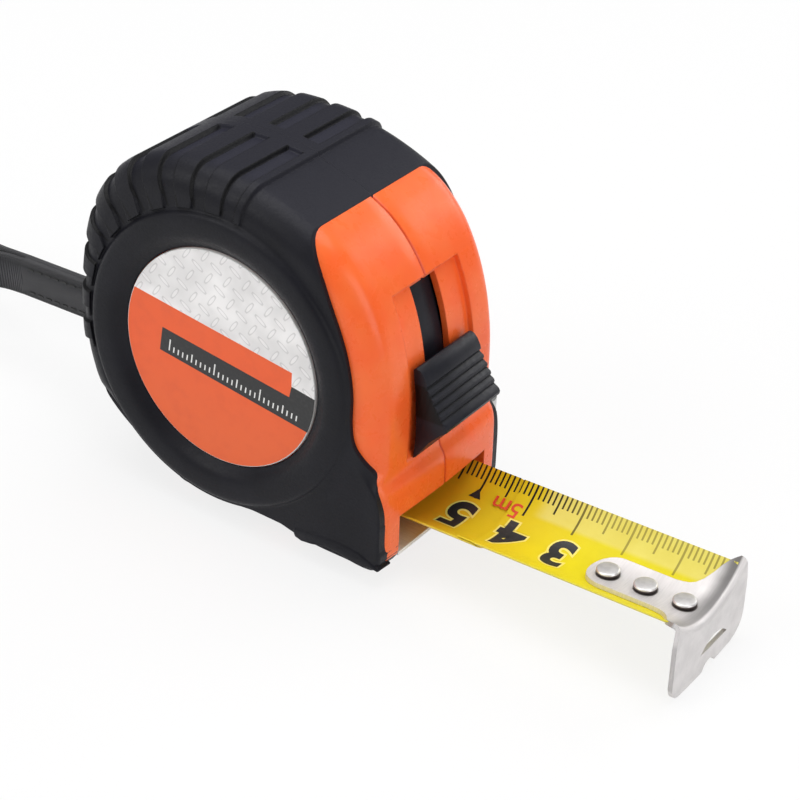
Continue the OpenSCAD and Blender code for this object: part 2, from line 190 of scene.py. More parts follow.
def thicken(piece, thickness):
    """Gives an open sheet its thickness, on the side away from its faces."""
    apply_modifier(piece, "SOLIDIFY", thickness=thickness * MM, offset=-1, use_even_offset=True)


def joined(name, pieces):
    deselect()
    for piece in pieces:
        piece.select_set(True)
    bpy.context.view_layer.objects.active = pieces[0]
    bpy.ops.object.join()
    pieces[0].name = name
    return pieces[0]


def mirrored_copy(piece, name):
    """The same piece on the other side of the middle plane."""
    only(piece)
    bpy.ops.object.duplicate()
    other = bpy.context.object
    other.name = name
    at = points_of(other)
    at[:, 1] *= -1
    set_points(other, at / MM)
    turn_over(other)
    return other


def turn_over(piece):
    with edit_mode(piece):
        bpy.ops.mesh.flip_normals()


def finish_with(piece, material):
    piece.data.materials.clear()
    piece.data.materials.append(material)


def hand_over(piece, kind, body, slot, *nodes):
    """Gives a piece its finish, and says what it rides on and stands for; its slot is not used."""
    finish_with(piece, finish(kind))
    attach(piece, body)
    if nodes:
        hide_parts(*nodes)


# ---------------------------------------------------------------- shapes in numbers

def rounded(marks, rounds, closed=True):
    """Cuts the corners of an outline, again and again."""
    at = np.array(marks, float)
    for _ in range(rounds):
        after = np.roll(at, -1, axis=0)
        pair = np.stack([0.75 * at + 0.25 * after, 0.25 * at + 0.75 * after], axis=1).reshape(-1, 2)
        at = pair if closed else np.vstack([at[:1], pair[:-2], at[-1:]])
    return at


def smooth_run(marks, steps):
    """A smooth line through the marks."""
    marks = np.array(marks, float)
    padded = np.vstack([marks[:1], marks, marks[-1:]])
    line = []
    for i in range(len(marks) - 1):
        a, b, c, d = padded[i:i + 4]
        for t in np.arange(steps) / steps:
            line.append(0.5 * (2 * b + (c - a) * t + (2 * a - 5 * b + 4 * c - d) * t * t
                               + (3 * b - a - 3 * c + d) * t ** 3))
    line.append(marks[-1])
    return np.array(line)


def step_up(value, low, high):
    t = np.clip((np.asarray(value, float) - low) / (high - low), 0, 1)
    return t * t * (3 - 2 * t)


def reach_at(outline, angles):
    """Distance from the hub to the outline, by angle from upright."""
    away = outline - HUB
    angle = np.degrees(np.arctan2(away[:, 0], away[:, 1]))
    far = np.hypot(*away.T)
    order = np.argsort(angle)
    angle, far = angle[order], far[order]
    return np.interp(angles, np.r_[angle - 360, angle, angle + 360], np.r_[far, far, far])


def inside_reach(angles, thick):
    """Distance to the inner wall, clear of the steps of the outline."""
    return np.min([reach_at(OUTLINE, angles + d) for d in np.arange(-5, 5.1, 1)], axis=0) - thick


def ring_of(name, angles, columns):
    """A closed ring on the -y side, from lines (distance, y, share) that go round its section.

    The distance is from the hub where share is 0 and from the reel's middle where it is 1.
    """
    a = np.radians(angles)[:, None]
    blank = np.zeros((len(angles), 1))
    columns = columns + columns[:1]
    far, across, share = (np.concatenate([blank + c[k] for c in columns], axis=1) for k in range(3))
    middle_x, middle_z = (HUB[k] + share * (REEL[k] - HUB[k]) for k in (0, 1))
    points = [middle_x + far * np.sin(a), -across, middle_z + far * np.cos(a)]
    return sheet_of(name, np.stack(points, axis=-1))


def bow_front(piece):
    """Bows the front a little and brings the sides in towards it."""
    at = points_of(piece) / MM
    x, y, z = at.T
    at[:, 1] = y * (1 - 0.055 * step_up(x, 18, 33) * step_up(np.abs(y), 14, 18))
    at[:, 0] = x - y * y / 430 * step_up(x, 22, 33) * (1 - step_up(z, 17, 21))
    set_points(piece, at)


OUTLINE = rounded(SIDE_MARKS, 4)
WINDOW = rounded(WINDOW_MARKS, 2, closed=False)


# ---------------------------------------------------------------- sizes and colours

def colour_property(label, words, value):
    return bpy.props.FloatVectorProperty(
        name=label, description=words, subtype="COLOR", size=3, min=0, max=1, default=value)


def length_property(label, words, value):
    return bpy.props.FloatProperty(
        name=label, description=words, default=value * MM, unit="LENGTH", subtype="DISTANCE",
        precision=4)


class TapeCaseSizes(bpy.types.PropertyGroup):
    jacket_half_width: length_property("Jacket half width", "Half width over the rubber", 20.45)
    shell_half_width: length_property("Shell half width", "Half width of the orange front", 19.2)
    ridge_height: length_property("Ridge height", "Height of the grip ridges on top", 0.8)
    grip_pitch: bpy.props.FloatProperty(
        name="Grip pitch", description="Angle from one grip ridge to the next", subtype="ANGLE",
        default=math.radians(12.4))
    grip_start: bpy.props.FloatProperty(
        name="Grip start", description="Front edge of the first pocket, from upright",
        subtype="ANGLE", default=math.radians(8.15))
    pocket_angle: bpy.props.FloatProperty(
        name="Pocket angle", description="Angle taken by one pocket between ridges",
        subtype="ANGLE", default=math.radians(5.5))
    label_radius: length_property("Label radius", "Radius of the round label", 20.55)


class TapeBladeSizes(bpy.types.PropertyGroup):
    width: length_property("Blade width", "Width of the blade laid flat", 25)
    section_radius: length_property("Section radius", "Radius of the cupped section", 14.7)
    thickness: length_property("Blade thickness", "Steel with its coating", 0.2)
    edge_height: length_property("Edge height", "Height of the blade edges over the base", 9.3)
    scale_zero: length_property("Scale zero", "Where the scale starts along the blade", 86.5)


class TapeColours(bpy.types.PropertyGroup):
    orange: colour_property("Orange", "Colour of the orange shell", (0.93, 0.125, 0.022))
    rubber: colour_property("Rubber", "Colour of the rubber jackets", (0.0058, 0.0058, 0.0090))
    blade: colour_property("Blade", "Colour of the blade's coating", (0.74, 0.58, 0.02))
    print_black: colour_property("Print", "Colour of the scale's print", (0.012, 0.012, 0.012))
    label_pale: colour_property("Label cap", "Pale part of the label", (0.87, 0.855, 0.85))
    steel: colour_property("Steel", "Colour of the hook and rivets", (0.73, 0.705, 0.70))
    strap: colour_property("Strap", "Colour of the wrist strap", (0.02, 0.02, 0.024))


def case_sizes():
    return bpy.context.scene.tape_case


def blade_sizes():
    return bpy.context.scene.tape_blade


def colours():
    return bpy.context.scene.tape_colours


# ---------------------------------------------------------------- finishes

class Nodes:
    """A node tree with short ways to add and link its nodes."""

    def __init__(self, tree):
        self.tree = tree

    def node(self, kind, **settings):
        made = self.tree.nodes.new(kind)
        for key, value in settings.items():
            setattr(made, key, value)
        return made

    def feed(self, socket, value):
        if isinstance(value, bpy.types.NodeSocket):
            self.tree.links.new(value, socket)
        elif value is not None:
            if socket.type == "RGBA" and len(value) == 3:
                value = (*value, 1)
            socket.default_value = value

    def fill(self, made, *values):
        """Feeds the inputs of a node in order, and gives its first output."""
        for socket, value in zip(made.inputs, values):
            self.feed(socket, value)
        return made.outputs[0]

    def fed(self, kind, *values, **settings):
        return self.fill(self.node(kind, **settings), *values)

    def maths(self, how, a, b=None):
        return self.fed("ShaderNodeMath", a, b, operation=how)

    def plus(self, a, b):
        return self.maths("ADD", a, b)

    def minus(self, a, b):
        return self.maths("SUBTRACT", a, b)

    def times(self, a, b):
        return self.maths("MULTIPLY", a, b)

    def over(self, a, b):
        return self.maths("DIVIDE", a, b)

    def larger(self, a, b):
        return self.maths("MAXIMUM", a, b)

    def unsigned(self, a):
        return self.maths("ABSOLUTE", a)

    def distance(self, a, b):
        """Length of the line with these two parts."""
        return self.maths("SQRT", self.plus(self.maths("POWER", a, 2), self.maths("POWER", b, 2)))


class Finish(Nodes):
    """A material with short ways to make its colour, roughness and relief."""

    def __init__(self, name, roughness=0.5, metallic=0.0, specular=0.5):
        self.material = bpy.data.materials.new(name)
        self.material.use_nodes = True
        super().__init__(self.material.node_tree)
        self.shader = self.tree.nodes["Principled BSDF"]
        self.shader.inputs["Roughness"].default_value = roughness
        self.shader.inputs["Metallic"].default_value = metallic
        self.shader.inputs["Specular IOR Level"].default_value = specular
        self.relief = []

    def place(self):
        """Coordinates of the piece in millimetres."""
        source = self.node("ShaderNodeTexCoord").outputs["Object"]
        scaled = self.node("ShaderNodeVectorMath", operation="SCALE")
        self.feed(scaled.inputs[0], source)
        scaled.inputs["Scale"].default_value = 1000
        return scaled.outputs[0]

    def split(self, vector):
        made = self.node("ShaderNodeSeparateXYZ")
        self.feed(made.inputs[0], vector)
        return made.outputs[0], made.outputs[1], made.outputs[2]

    def stretch(self, vector, scale):
        made = self.node("ShaderNodeMapping")
        self.feed(made.inputs["Vector"], vector)
        made.inputs["Scale"].default_value = scale
        return made.outputs[0]

    def noise(self, vector, scale, detail=3.0, rough=0.55):
        made = self.node("ShaderNodeTexNoise")
        self.feed(made.inputs["Vector"], vector)
        made.inputs["Scale"].default_value = scale
        made.inputs["Detail"].default_value = detail
        made.inputs["Roughness"].default_value = rough
        return made.outputs["Fac"]

    def ramp(self, value, low, high, out_low=0.0, out_high=1.0):
        """A soft step from out_low, below low, to out_high, above high."""
        return self.fed("ShaderNodeMapRange", value, low, high, out_low, out_high,
                        interpolation_type="SMOOTHSTEP")

    def mix(self, factor, a, b):
        made = self.node("ShaderNodeMix", data_type="RGBA")
        self.feed(made.inputs[0], factor)
        self.feed(made.inputs[6], a)
        self.feed(made.inputs[7], b)
        return made.outputs[2]

    def colour(self, value):
        self.feed(self.shader.inputs["Base Color"], value)

    def rough(self, value):
        self.feed(self.shader.inputs["Roughness"], value)

    def raised(self, height, distance, strength=1.0):
        """Adds relief of the given height in millimetres."""
        self.relief.append((height, distance, strength))

    def done(self, edge=None):
        """Joins the relief and, where edge is given, a soft edge of that radius."""
        normal = None
        if edge:
            made = self.node("ShaderNodeBevel", samples=4)
            made.inputs["Radius"].default_value = edge * MM
            normal = made.outputs[0]
        for height, distance, strength in self.relief:
            made = self.node("ShaderNodeBump")
            made.inputs["Distance"].default_value = distance * MM
            made.inputs["Strength"].default_value = strength
            self.feed(made.inputs["Height"], height)
            if normal is not None:
                self.feed(made.inputs["Normal"], normal)
            normal = made.outputs[0]
        if normal is not None:
            self.feed(self.shader.inputs["Normal"], normal)
        return self.material


def shade(colour, factor):
    return tuple(min(1.0, c * factor) for c in colour)


def orange_plastic():
    f = Finish("orange_plastic", roughness=0.3, specular=0.3)
    base = tuple(colours().orange)
    at = f.place()
    cloudy = f.noise(at, 0.09, 2)
    body = f.mix(f.ramp(cloudy, 0.35, 0.65), base, (base[0], base[1] * 1.25, base[2] * 1.5))
    # dark line of the seam on the middle plane
    seam = f.ramp(f.unsigned(f.split(at)[1]), 0.12, 0.42, 1, 0)
    f.colour(f.mix(f.times(seam, 0.7), body, (0.6, 0.035, 0.006)))
    f.rough(f.ramp(f.noise(at, 0.4, 4), 0.3, 0.7, 0.24, 0.36))
    f.raised(f.noise(at, 3.0, 3), 0.012)
    f.shader.inputs["Coat Weight"].default_value = 0.08
    f.shader.inputs["Coat Roughness"].default_value = 0.12
    return f.done(edge=0.35)


def black_rubber():
    f = Finish("black_rubber", roughness=0.48, specular=0.2)
    base = tuple(colours().rubber)
    at = f.place()
    x, y, z = f.split(at)
    worn = f.noise(at, 0.12, 4, 0.6)
    fine = f.noise(at, 2.2, 3, 0.6)
    body = f.mix(f.ramp(worn, 0.35, 0.7), base, shade(base, 1.35))
    # painted highlight: the top is painted lighter than the sides, where the light from above falls
    aside = f.unsigned(y)
    painted_top_light = f.times(f.ramp(aside, 15, 20, 1, 0), f.ramp(z, 40, 60, 0.5, 1))
    body = f.mix(painted_top_light, body, shade(base, 2.3))
    dusty = f.ramp(f.noise(at, 0.55, 5, 0.7), 0.62, 0.8, 0, 0.35)
    body = f.mix(dusty, body, shade(base, 2.1))
    # painted shade: the steps at both ends of every pocket are painted darker
    pitch, start, pocket = grip_sizes()
    turn = f.maths("ARCTAN2", f.minus(x, HUB[0]), f.minus(z, HUB[1]))
    back = f.minus(start, f.maths("DEGREES", turn))
    phase = f.times(f.maths("FRACT", f.over(back, pitch)), pitch)
    steps = 0.0
    for edge in (0, pocket, pitch):
        steps = f.larger(steps, f.ramp(f.unsigned(f.minus(phase, edge)), 0.25, 0.6, 1, 0))
    off_band = f.ramp(aside, BAND - 0.2, BAND)
    # painted highlight: the pocket floors on the top are painted lighter, where the light from
    # above falls
    painted_pocket_light = f.times(f.ramp(phase, pocket - 0.2, pocket + 0.2, 1, 0), f.ramp(back, -0.2, 0.2))
    painted_pocket_light = f.times(f.times(painted_pocket_light, off_band), f.ramp(z, 50, 60))
    body = f.mix(f.times(painted_pocket_light, f.ramp(aside, 13, 17, 0.7, 0)), body, shade(base, 4.2))
    far = f.distance(f.minus(x, REEL[0]), f.minus(z, REEL[1]))
    for gate in (f.ramp(back, -3.5, -3.2), f.ramp(back, 116, 117, 1, 0), off_band,
                 f.ramp(far, 28.3, 28.6)):
        steps = f.times(steps, gate)
    f.colour(f.mix(f.times(steps, 0.85), body, shade(base, 0.15)))
    f.rough(f.ramp(fine, 0.3, 0.7, 0.38, 0.52))
    f.raised(fine, 0.03)
    f.raised(f.noise(at, 7.0, 2), 0.012)
    return f.done(edge=0.3)


def black_plastic(name, low, high, roughness, specular, edge, grooves=False):
    """Satin black, with painted shade down in the grooves of the thumb button."""
    f = Finish(name, roughness=roughness, specular=specular)
    at = f.place()
    body = f.mix(f.ramp(f.noise(at, 0.3, 4), 0.3, 0.75), low, high)
    if grooves:
        x, _, z = f.split(at)
        # how far a point stands out from the slope that the grooves reach down to
        out = f.minus(x, f.plus(34.25, f.times(f.minus(33.8, z), 0.617)))
        # painted shade down in the grooves
        deep = f.times(f.ramp(out, 0.05, 0.24, 1, 0), f.ramp(z, 34.0, 34.3, 1, 0))
        deep = f.times(deep, f.ramp(z, 27.6, 28.0))
        body = f.mix(deep, body, (0.001, 0.001, 0.0015))
    f.colour(body)
    f.rough(f.ramp(f.noise(at, 1.2, 4), 0.3, 0.7, roughness - 0.06, roughness + 0.08))
    f.raised(f.noise(at, 5.0, 3), 0.012)
    return f.done(edge=edge)


def bright_steel(name, tone, roughness, grain=(0.15, 3.0, 0.15), edge=0.12, metallic=1.0):
    """Rolled sheet with fine drawing lines."""
    f = Finish(name, roughness=roughness, metallic=metallic)
    at = f.place()
    lines = f.noise(f.stretch(at, grain), 2.0, 4, 0.6)
    cloud = f.noise(at, 0.25, 3)
    body = f.mix(f.ramp(lines, 0.3, 0.7), shade(tone, 0.9), shade(tone, 1.05))
    f.colour(f.mix(f.ramp(cloud, 0.4, 0.8, 0, 0.4), body, shade(tone, 0.8)))
    f.rough(f.ramp(cloud, 0.3, 0.7, roughness - 0.07, roughness + 0.1))
    f.raised(lines, 0.01)
    return f.done(edge=edge)


def hook_steel():
    """Zinc plated sheet, with painted shade in the bend, on the lower edge of the plate and round
    the rivet heads.
    """
    f = Finish("hook_steel", roughness=0.55, metallic=0.6)
    tone = tuple(colours().steel)
    at = f.place()
    x, y, z = f.split(at)
    lines = f.noise(f.stretch(at, (3.0, 0.15, 0.15)), 2.0, 4, 0.6)
    cloud = f.noise(at, 0.25, 3)
    body = f.mix(f.ramp(lines, 0.3, 0.7), shade(tone, 0.92), shade(tone, 1.03))
    # painted shade in the bend, darker towards -y
    bend = f.times(f.ramp(x, 82.6, 85.6), f.ramp(x, 86.0, 86.5, 1, 0))
    bend = f.times(bend, f.ramp(y, -6, 7, 0.55, 1))
    shady = 0.0
    for middle in RIVETS_X:
        away = f.distance(f.minus(x, middle + 0.12), f.plus(y, 0.2))
        shady = f.larger(shady, f.ramp(away, 2.0, 2.3, 1, 0))
    shady = f.times(shady, f.ramp(z, 5, 5.2))
    # painted shade on the lower edge of the plate
    rim = f.times(f.ramp(y, -12.45, -12.2, 1, 0), f.ramp(x, 86, 86.4))
    painted_shade = f.larger(f.times(bend, 0.9), f.times(rim, 0.3))
    body = f.mix(painted_shade, body, shade(tone, 0.16))
    f.colour(f.mix(f.times(shady, 0.9), body, (0.06, 0.045, 0.04)))
    f.rough(f.ramp(cloud, 0.3, 0.7, 0.5, 0.65))
    f.raised(lines, 0.01)
    return f.done(edge=0.12)


def rivet_steel():
    """Pressed heads, bright on top with painted shade on their sides."""
    f = Finish("rivet_steel", roughness=0.36, metallic=0.75)
    at = f.place()
    # painted shade: the sides of the heads, under the top, are painted dark
    top = f.ramp(f.split(at)[2], 6.02, 6.2)
    body = f.mix(f.ramp(f.noise(at, 0.8, 3), 0.35, 0.65), (0.70, 0.685, 0.68), (0.80, 0.785, 0.78))
    f.colour(f.mix(top, (0.10, 0.08, 0.075), body))
    f.raised(f.noise(at, 2.0, 3), 0.01)
    return f.done(edge=0.12)


def blade_print():
    """Yellow coating with the scale's ticks along the far edge."""
    f = Finish("blade_yellow", roughness=0.45, specular=0.14)
    sizes = blade_sizes()
    radius = sizes.section_radius / MM
    half = sizes.width / MM / 2
    at = f.place()
    x, y, _ = f.split(at)
    along = f.minus(sizes.scale_zero / MM, x)
    across = f.times(f.maths("ARCSINE", f.over(y, radius)), radius)
    from_edge = f.minus(half, across)
    ticks = 0.0
    for pitch, reach, width in ((1, 2.7, 0.36), (5, 4.2, 0.38), (10, 6.6, 0.42)):
        # 1 on a line at every whole pitch along the scale
        wave = f.maths("PINGPONG", along, pitch / 2)
        row = f.ramp(wave, width / 2 - 0.03, width / 2 + 0.03, 1, 0)
        ticks = f.larger(ticks, f.times(row, f.ramp(from_edge, reach, reach + 0.08, 1, 0)))
    ticks = f.times(ticks, f.ramp(along, 0.4, 0.5))
    base = tuple(colours().blade)
    # painted reflection of the orange case: golden towards the case and orange at the mouth; a
    # painted highlight makes the far edge paler towards the hook
    body = f.mix(f.ramp(along, 20, 50), (0.76, 0.66, 0.012), (0.80, 0.56, 0.012))
    body = f.mix(f.ramp(along, 46, 55), body, (1.0, 0.40, 0.012))
    # painted highlight: a paler band along the far edge, towards the hook
    pale = f.times(f.ramp(from_edge, 5.2, 6.4, 1, 0), f.ramp(along, 36, 39, 1, 0))
    body = f.mix(f.times(pale, 0.6), body, (0.80, 0.72, 0.24))
    # painted highlight: a paler band along the near edge
    near = f.ramp(from_edge, 18.5, 23, 0, 0.3)
    body = f.mix(near, body, (0.78, 0.68, 0.08))
    body = f.mix(f.ramp(f.noise(at, 0.18, 4), 0.35, 0.7, 0, 0.22), body, shade(base, 0.82))
    stain = f.times(f.ramp(f.noise(f.stretch(at, (0.5, 1.4, 1)), 0.6, 5, 0.7), 0.6, 0.75),
                     f.ramp(from_edge, 21, 24.5, 0, 0.3))
    body = f.mix(stain, body, (0.25, 0.13, 0.02))
    # the print is olive and thinner towards the hook
    worn = f.ramp(along, 22, 36, 0.62, 1)
    ink_tone = f.mix(f.ramp(along, 22, 40), (0.13, 0.10, 0.02), tuple(colours().print_black))
    f.colour(f.mix(f.times(ticks, worn), body, ink_tone))
    f.rough(f.ramp(f.noise(at, 0.5, 4), 0.3, 0.7, 0.38, 0.52))
    f.raised(f.noise(at, 1.5, 3), 0.01)
    return f.done()


def ink(name, tone, rough=0.4):
    f = Finish(name, roughness=rough)
    at = f.place()
    thin = tuple(min(1, c * 1.5 + 0.02) for c in tone)
    f.colour(f.mix(f.ramp(f.noise(at, 1.5, 4), 0.45, 0.8, 0, 0.5), tone, thin))
    f.raised(f.noise(at, 4.0, 2), 0.006)
    return f.done()


def label_metal():
    """Pale print of a tread plate: crossed lozenges in alternate directions."""
    f = Finish("label_pale", roughness=0.42, specular=0.4)
    at = f.place()
    x, _, z = f.split(at)
    turn = math.radians(-9)
    across = f.minus(f.times(x, math.cos(turn)), f.times(z, math.sin(turn)))
    up = f.plus(f.times(x, math.sin(turn)), f.times(z, math.cos(turn)))
    # cells 2.9 mm wide that stand on their corners
    u = f.over(f.plus(across, up), 2.9 * math.sqrt(2))
    v = f.over(f.minus(across, up), 2.9 * math.sqrt(2))
    odd = f.maths("PINGPONG", f.plus(f.maths("FLOOR", u), f.maths("FLOOR", v)), 1)
    fu = f.minus(f.maths("FRACT", u), 0.5)
    fv = f.minus(f.maths("FRACT", v), 0.5)

    one = f.distance(f.over(fu, 0.46), f.over(fv, 0.12))
    other = f.distance(f.over(fv, 0.46), f.over(fu, 0.12))
    far = f.plus(f.times(one, odd), f.times(other, f.minus(1.0, odd)))
    top = f.ramp(far, 0.72, 1.15, 1, 0)
    rim = f.times(f.ramp(far, 0.7, 0.95), f.ramp(far, 1.0, 1.5, 1, 0))
    tone = tuple(colours().label_pale)
    body = f.mix(f.ramp(f.noise(at, 0.1, 3), 0.35, 0.65), shade(tone, 0.9), shade(tone, 1.12))
    body = f.mix(f.times(top, 0.4), body, shade(tone, 1.15))
    f.colour(f.mix(f.times(rim, 0.5), body, shade(tone, 0.55)))
    f.raised(top, 0.02, 0.5)
    return f.done()


def label_orange():
    f = Finish("label_orange", roughness=0.34, specular=0.45)
    at = f.place()
    body = f.mix(f.ramp(f.split(at)[2], 14, 34), (0.86, 0.13, 0.025), (0.89, 0.115, 0.02))
    f.colour(f.mix(f.ramp(f.noise(at, 0.3, 4), 0.4, 0.8, 0, 0.3), body, (0.70, 0.085, 0.02)))
    f.raised(f.noise(at, 1.2, 3), 0.008)
    return f.done()


def webbing():
    """Woven tape: rows of slanted threads along the strap."""
    f = Finish("strap_webbing", roughness=0.75, specular=0.3)
    f.shader.inputs["Sheen Weight"].default_value = 0.25
    u, v, _ = f.split(f.node("ShaderNodeUVMap").outputs["UV"])
    run = f.times(u, 150)
    turn = f.times(v, 22)
    slanted = f.plus(run, f.maths("PINGPONG", turn, 1.0))
    wave = f.times(f.maths("PINGPONG", slanted, 0.5), 2)
    rows = f.times(f.maths("PINGPONG", turn, 0.5), 2)
    weave = f.times(f.maths("POWER", wave, 0.6), f.maths("POWER", rows, 0.5))
    tone = tuple(colours().strap)
    f.colour(f.mix(weave, shade(tone, 0.55), shade(tone, 1.9)))
    f.raised(weave, 0.16)
    f.raised(f.noise(f.place(), 4.0, 3), 0.03)
    return f.done()


def plain_plastic(name, tone):
    f = Finish(name, roughness=0.42)
    at = f.place()
    f.colour(f.mix(f.ramp(f.noise(at, 0.3, 4), 0.3, 0.7), tone, shade(tone, 0.85)))
    f.raised(f.noise(at, 3.0, 3), 0.012)
    return f.done(edge=0.2)


FINISHES = {}


def finish(name):
    """Makes each finish once, when it is first asked for."""
    makers = {
        "orange": orange_plastic,
        "rubber": black_rubber,
        "button": lambda: black_plastic("button_plastic", (0.0075, 0.0078, 0.0125),
                                        (0.0125, 0.0127, 0.0185), 0.42, 0.24, 0.12, grooves=True),
        "inside": lambda: black_plastic("inner_plastic", (0.02, 0.02, 0.026),
                                        (0.032, 0.032, 0.04), 0.45, 0.3, None),
        "steel": hook_steel,
        "rivet": rivet_steel,
        "plate": lambda: bright_steel("wear_plate_steel", (0.88, 0.88, 0.88), 0.5, metallic=0.1),
        "coil": lambda: bright_steel("wound_blade", (0.8, 0.55, 0.03), 0.4, (0.3, 3.0, 0.3), None,
                                     0.0),
        "spring": lambda: bright_steel("clip_steel", (0.62, 0.62, 0.61), 0.26, (0.15, 0.15, 3.0)),
        "dark_steel": lambda: bright_steel("dark_steel", (0.3, 0.3, 0.31), 0.36, (1, 1, 1)),
        "blade": blade_print,
        "ink": lambda: ink("scale_ink", tuple(colours().print_black)),
        "halo": lambda: ink("scale_halo", (0.92, 0.76, 0.16)),
        "red_ink": lambda: ink("scale_red", (0.75, 0.06, 0.01)),
        "label_pale": label_metal,
        "label_orange": label_orange,
        "label_black": lambda: ink("label_black", (0.012, 0.012, 0.013), 0.36),
        "label_white": lambda: ink("label_white", (0.82, 0.82, 0.80), 0.4),
        "webbing": webbing,
        "white_plastic": lambda: plain_plastic("white_plastic", (0.75, 0.75, 0.72)),
    }
    if name not in FINISHES:
        FINISHES[name] = makers[name]()
    return FINISHES[name]


# ---------------------------------------------------------------- stage

CAMERA_AT = Vector((0.2157, -0.2898, 0.2328))
CAMERA_RIGHT = Vector((0.8231, 0.5671, 0.0298))
CAMERA_BACK = Vector((0.4736, -0.7144, 0.5152))
LAMPS_AIM = Vector((0, 0, 0.03))
# name, place, width, height and power
LAMPS = (
    ("top lamp", (-0.05, 0.05, 0.75), 0.7, 0.7, 4.2),
    ("key lamp", (-0.35, -0.55, 0.5), 0.5, 0.5, 2.3),
    ("front lamp", (0.75, -0.15, 0.3), 0.4, 0.6, 2.0),
    ("rim lamp", (0.2, 0.7, 0.35), 0.5, 0.4, 1.6),
)
# the rear of the base, and how far under it and ahead of it the tip of the hook is, in metres
BASE_REAR_X, HOOK_DROP, HOOK_AHEAD = -0.008, 0.00552, 0.095


class TAPE_OT_stage(bpy.types.Operator):
    """Camera, floor, lamps and world"""
    bl_idname = "tape.stage"
    bl_label = "Stage"

    def execute(self, context):
        scene = context.scene
        deselect()
        bpy.ops.object.camera_add(location=CAMERA_AT)
        camera = context.object
        back = CAMERA_BACK.normalized()
        up = back.cross(CAMERA_RIGHT.normalized()).normalized()
        turn = Matrix((up.cross(back).normalized(), up, back)).transposed().to_4x4()
        camera.matrix_world = Matrix.Translation(CAMERA_AT) @ turn
        camera.data.sensor_width = 36
        camera.data.lens = 104.36
        camera.data.clip_start = 0.01
        camera.data.clip_end = 20
        scene.camera = camera

        # the floor touches the rear of the base and the tip of the hook
        deselect()
        bpy.ops.mesh.primitive_plane_add(size=6)
        floor = context.object
        floor.name = "floor"
        lean = math.atan2(HOOK_DROP, HOOK_AHEAD)
        floor.data.transform(Matrix.Translation((BASE_REAR_X, 0, -0.0001))
                             @ Matrix.Rotation(lean, 4, "Y"))
        f = Finish("floor_paint", roughness=0.6, specular=0.2)
        f.colour((0.84, 0.84, 0.84))
        ray = f.node("ShaderNodeLightPath").outputs
        plain = f.larger(ray["Is Camera Ray"],
                         f.larger(ray["Is Glossy Ray"], ray["Is Transmission Ray"]))
        white = f.fed("ShaderNodeEmission", (1, 1, 1), 1)
        blend = f.fed("ShaderNodeMixShader", f.times(plain, 0.8), f.shader.outputs[0], white)
        f.feed(f.tree.nodes["Material Output"].inputs["Surface"], blend)
        finish_with(floor, f.material)

        world = scene.world or bpy.data.worlds.new("studio")
        scene.world = world
        world.use_nodes = True
        sky = Nodes(world.node_tree)
        air = sky.fill(sky.tree.nodes["Background"], (1, 1, 1), 0.27)
        ray = sky.node("ShaderNodeLightPath").outputs
        backdrop = sky.fed("ShaderNodeBackground", (1, 1, 1), 1)
        either = sky.larger(ray["Is Camera Ray"], ray["Is Transmission Ray"])
        blend = sky.fed("ShaderNodeMixShader", either, air, backdrop)
        sky.feed(sky.tree.nodes["World Output"].inputs["Surface"], blend)

        for name, at, wide, high, power in LAMPS:
            deselect()
            bpy.ops.object.light_add(type="AREA")
            lamp = context.object
            lamp.name = name
            lamp.data.shape = "RECTANGLE"
            lamp.data.size = wide
            lamp.data.size_y = high
            lamp.data.energy = power
            lamp.location = at
            lamp.rotation_euler = (LAMPS_AIM - Vector(at)).to_track_quat("-Z", "Y").to_euler()

        scene.view_settings.view_transform = "Standard"
        return {"FINISHED"}


# ---------------------------------------------------------------- strap

STRAP_OUT_X = -64.0
STRAP_Z = 20.1
STRAP_MARKS = [
    (STRAP_OUT_X, -0.8, STRAP_Z), (-71, -1.3, 19.6), (-79, -4.4, 17.6), (-89, -9, 14.4),
    (-99, -10.6, 11.9), (-107, -7.4, 11.3), (-110.5, 0, 11.4), (-107, 7.4, 11.3),
    (-99, 10.6, 11.9), (-89, 9, 14.4), (-79, 4.4, 17.6), (-71, 1.3, 19.6),
    (STRAP_OUT_X, 0.8, STRAP_Z),
]
STRAP_WIDTH = 7.6
STRAP_THICK = 1.4


def tape_section(half_height, half_thick, corner=0.45, steps=4):
    """Rounded rectangle, standing up, as (sideways, up)."""
    points = []
    for sx, sz, start in ((1, 1, 0), (-1, 1, 90), (-1, -1, 180), (1, -1, 270)):
        for k in range(steps + 1):
            a = math.radians(start + 90 * k / steps)
            points.append((sx * (half_thick - corner) + corner * math.cos(a),
                           sz * (half_height - corner) + corner * math.sin(a)))
    points.append(points[0])
    return np.array(points)


def standing_tape(name, line, half_height, half_thick):
    ahead = np.gradient(line, axis=0)
    side = np.stack([ahead[:, 1], -ahead[:, 0], np.zeros(len(line))], axis=1)
    side /= np.linalg.norm(side, axis=1)[:, None]
    section = tape_section(half_height, half_thick)
    grid = line[:, None, :] + side[:, None, :] * section[None, :, 0, None]
    grid = grid + np.array([0, 0, 1.0]) * section[None, :, 1, None]
    # shut both ends
    ends = [np.repeat(line[i][None, None, :], len(section), axis=1) for i in (0, -1)]
    return sheet_of(name, np.concatenate([ends[0], grid, ends[1]], axis=0))


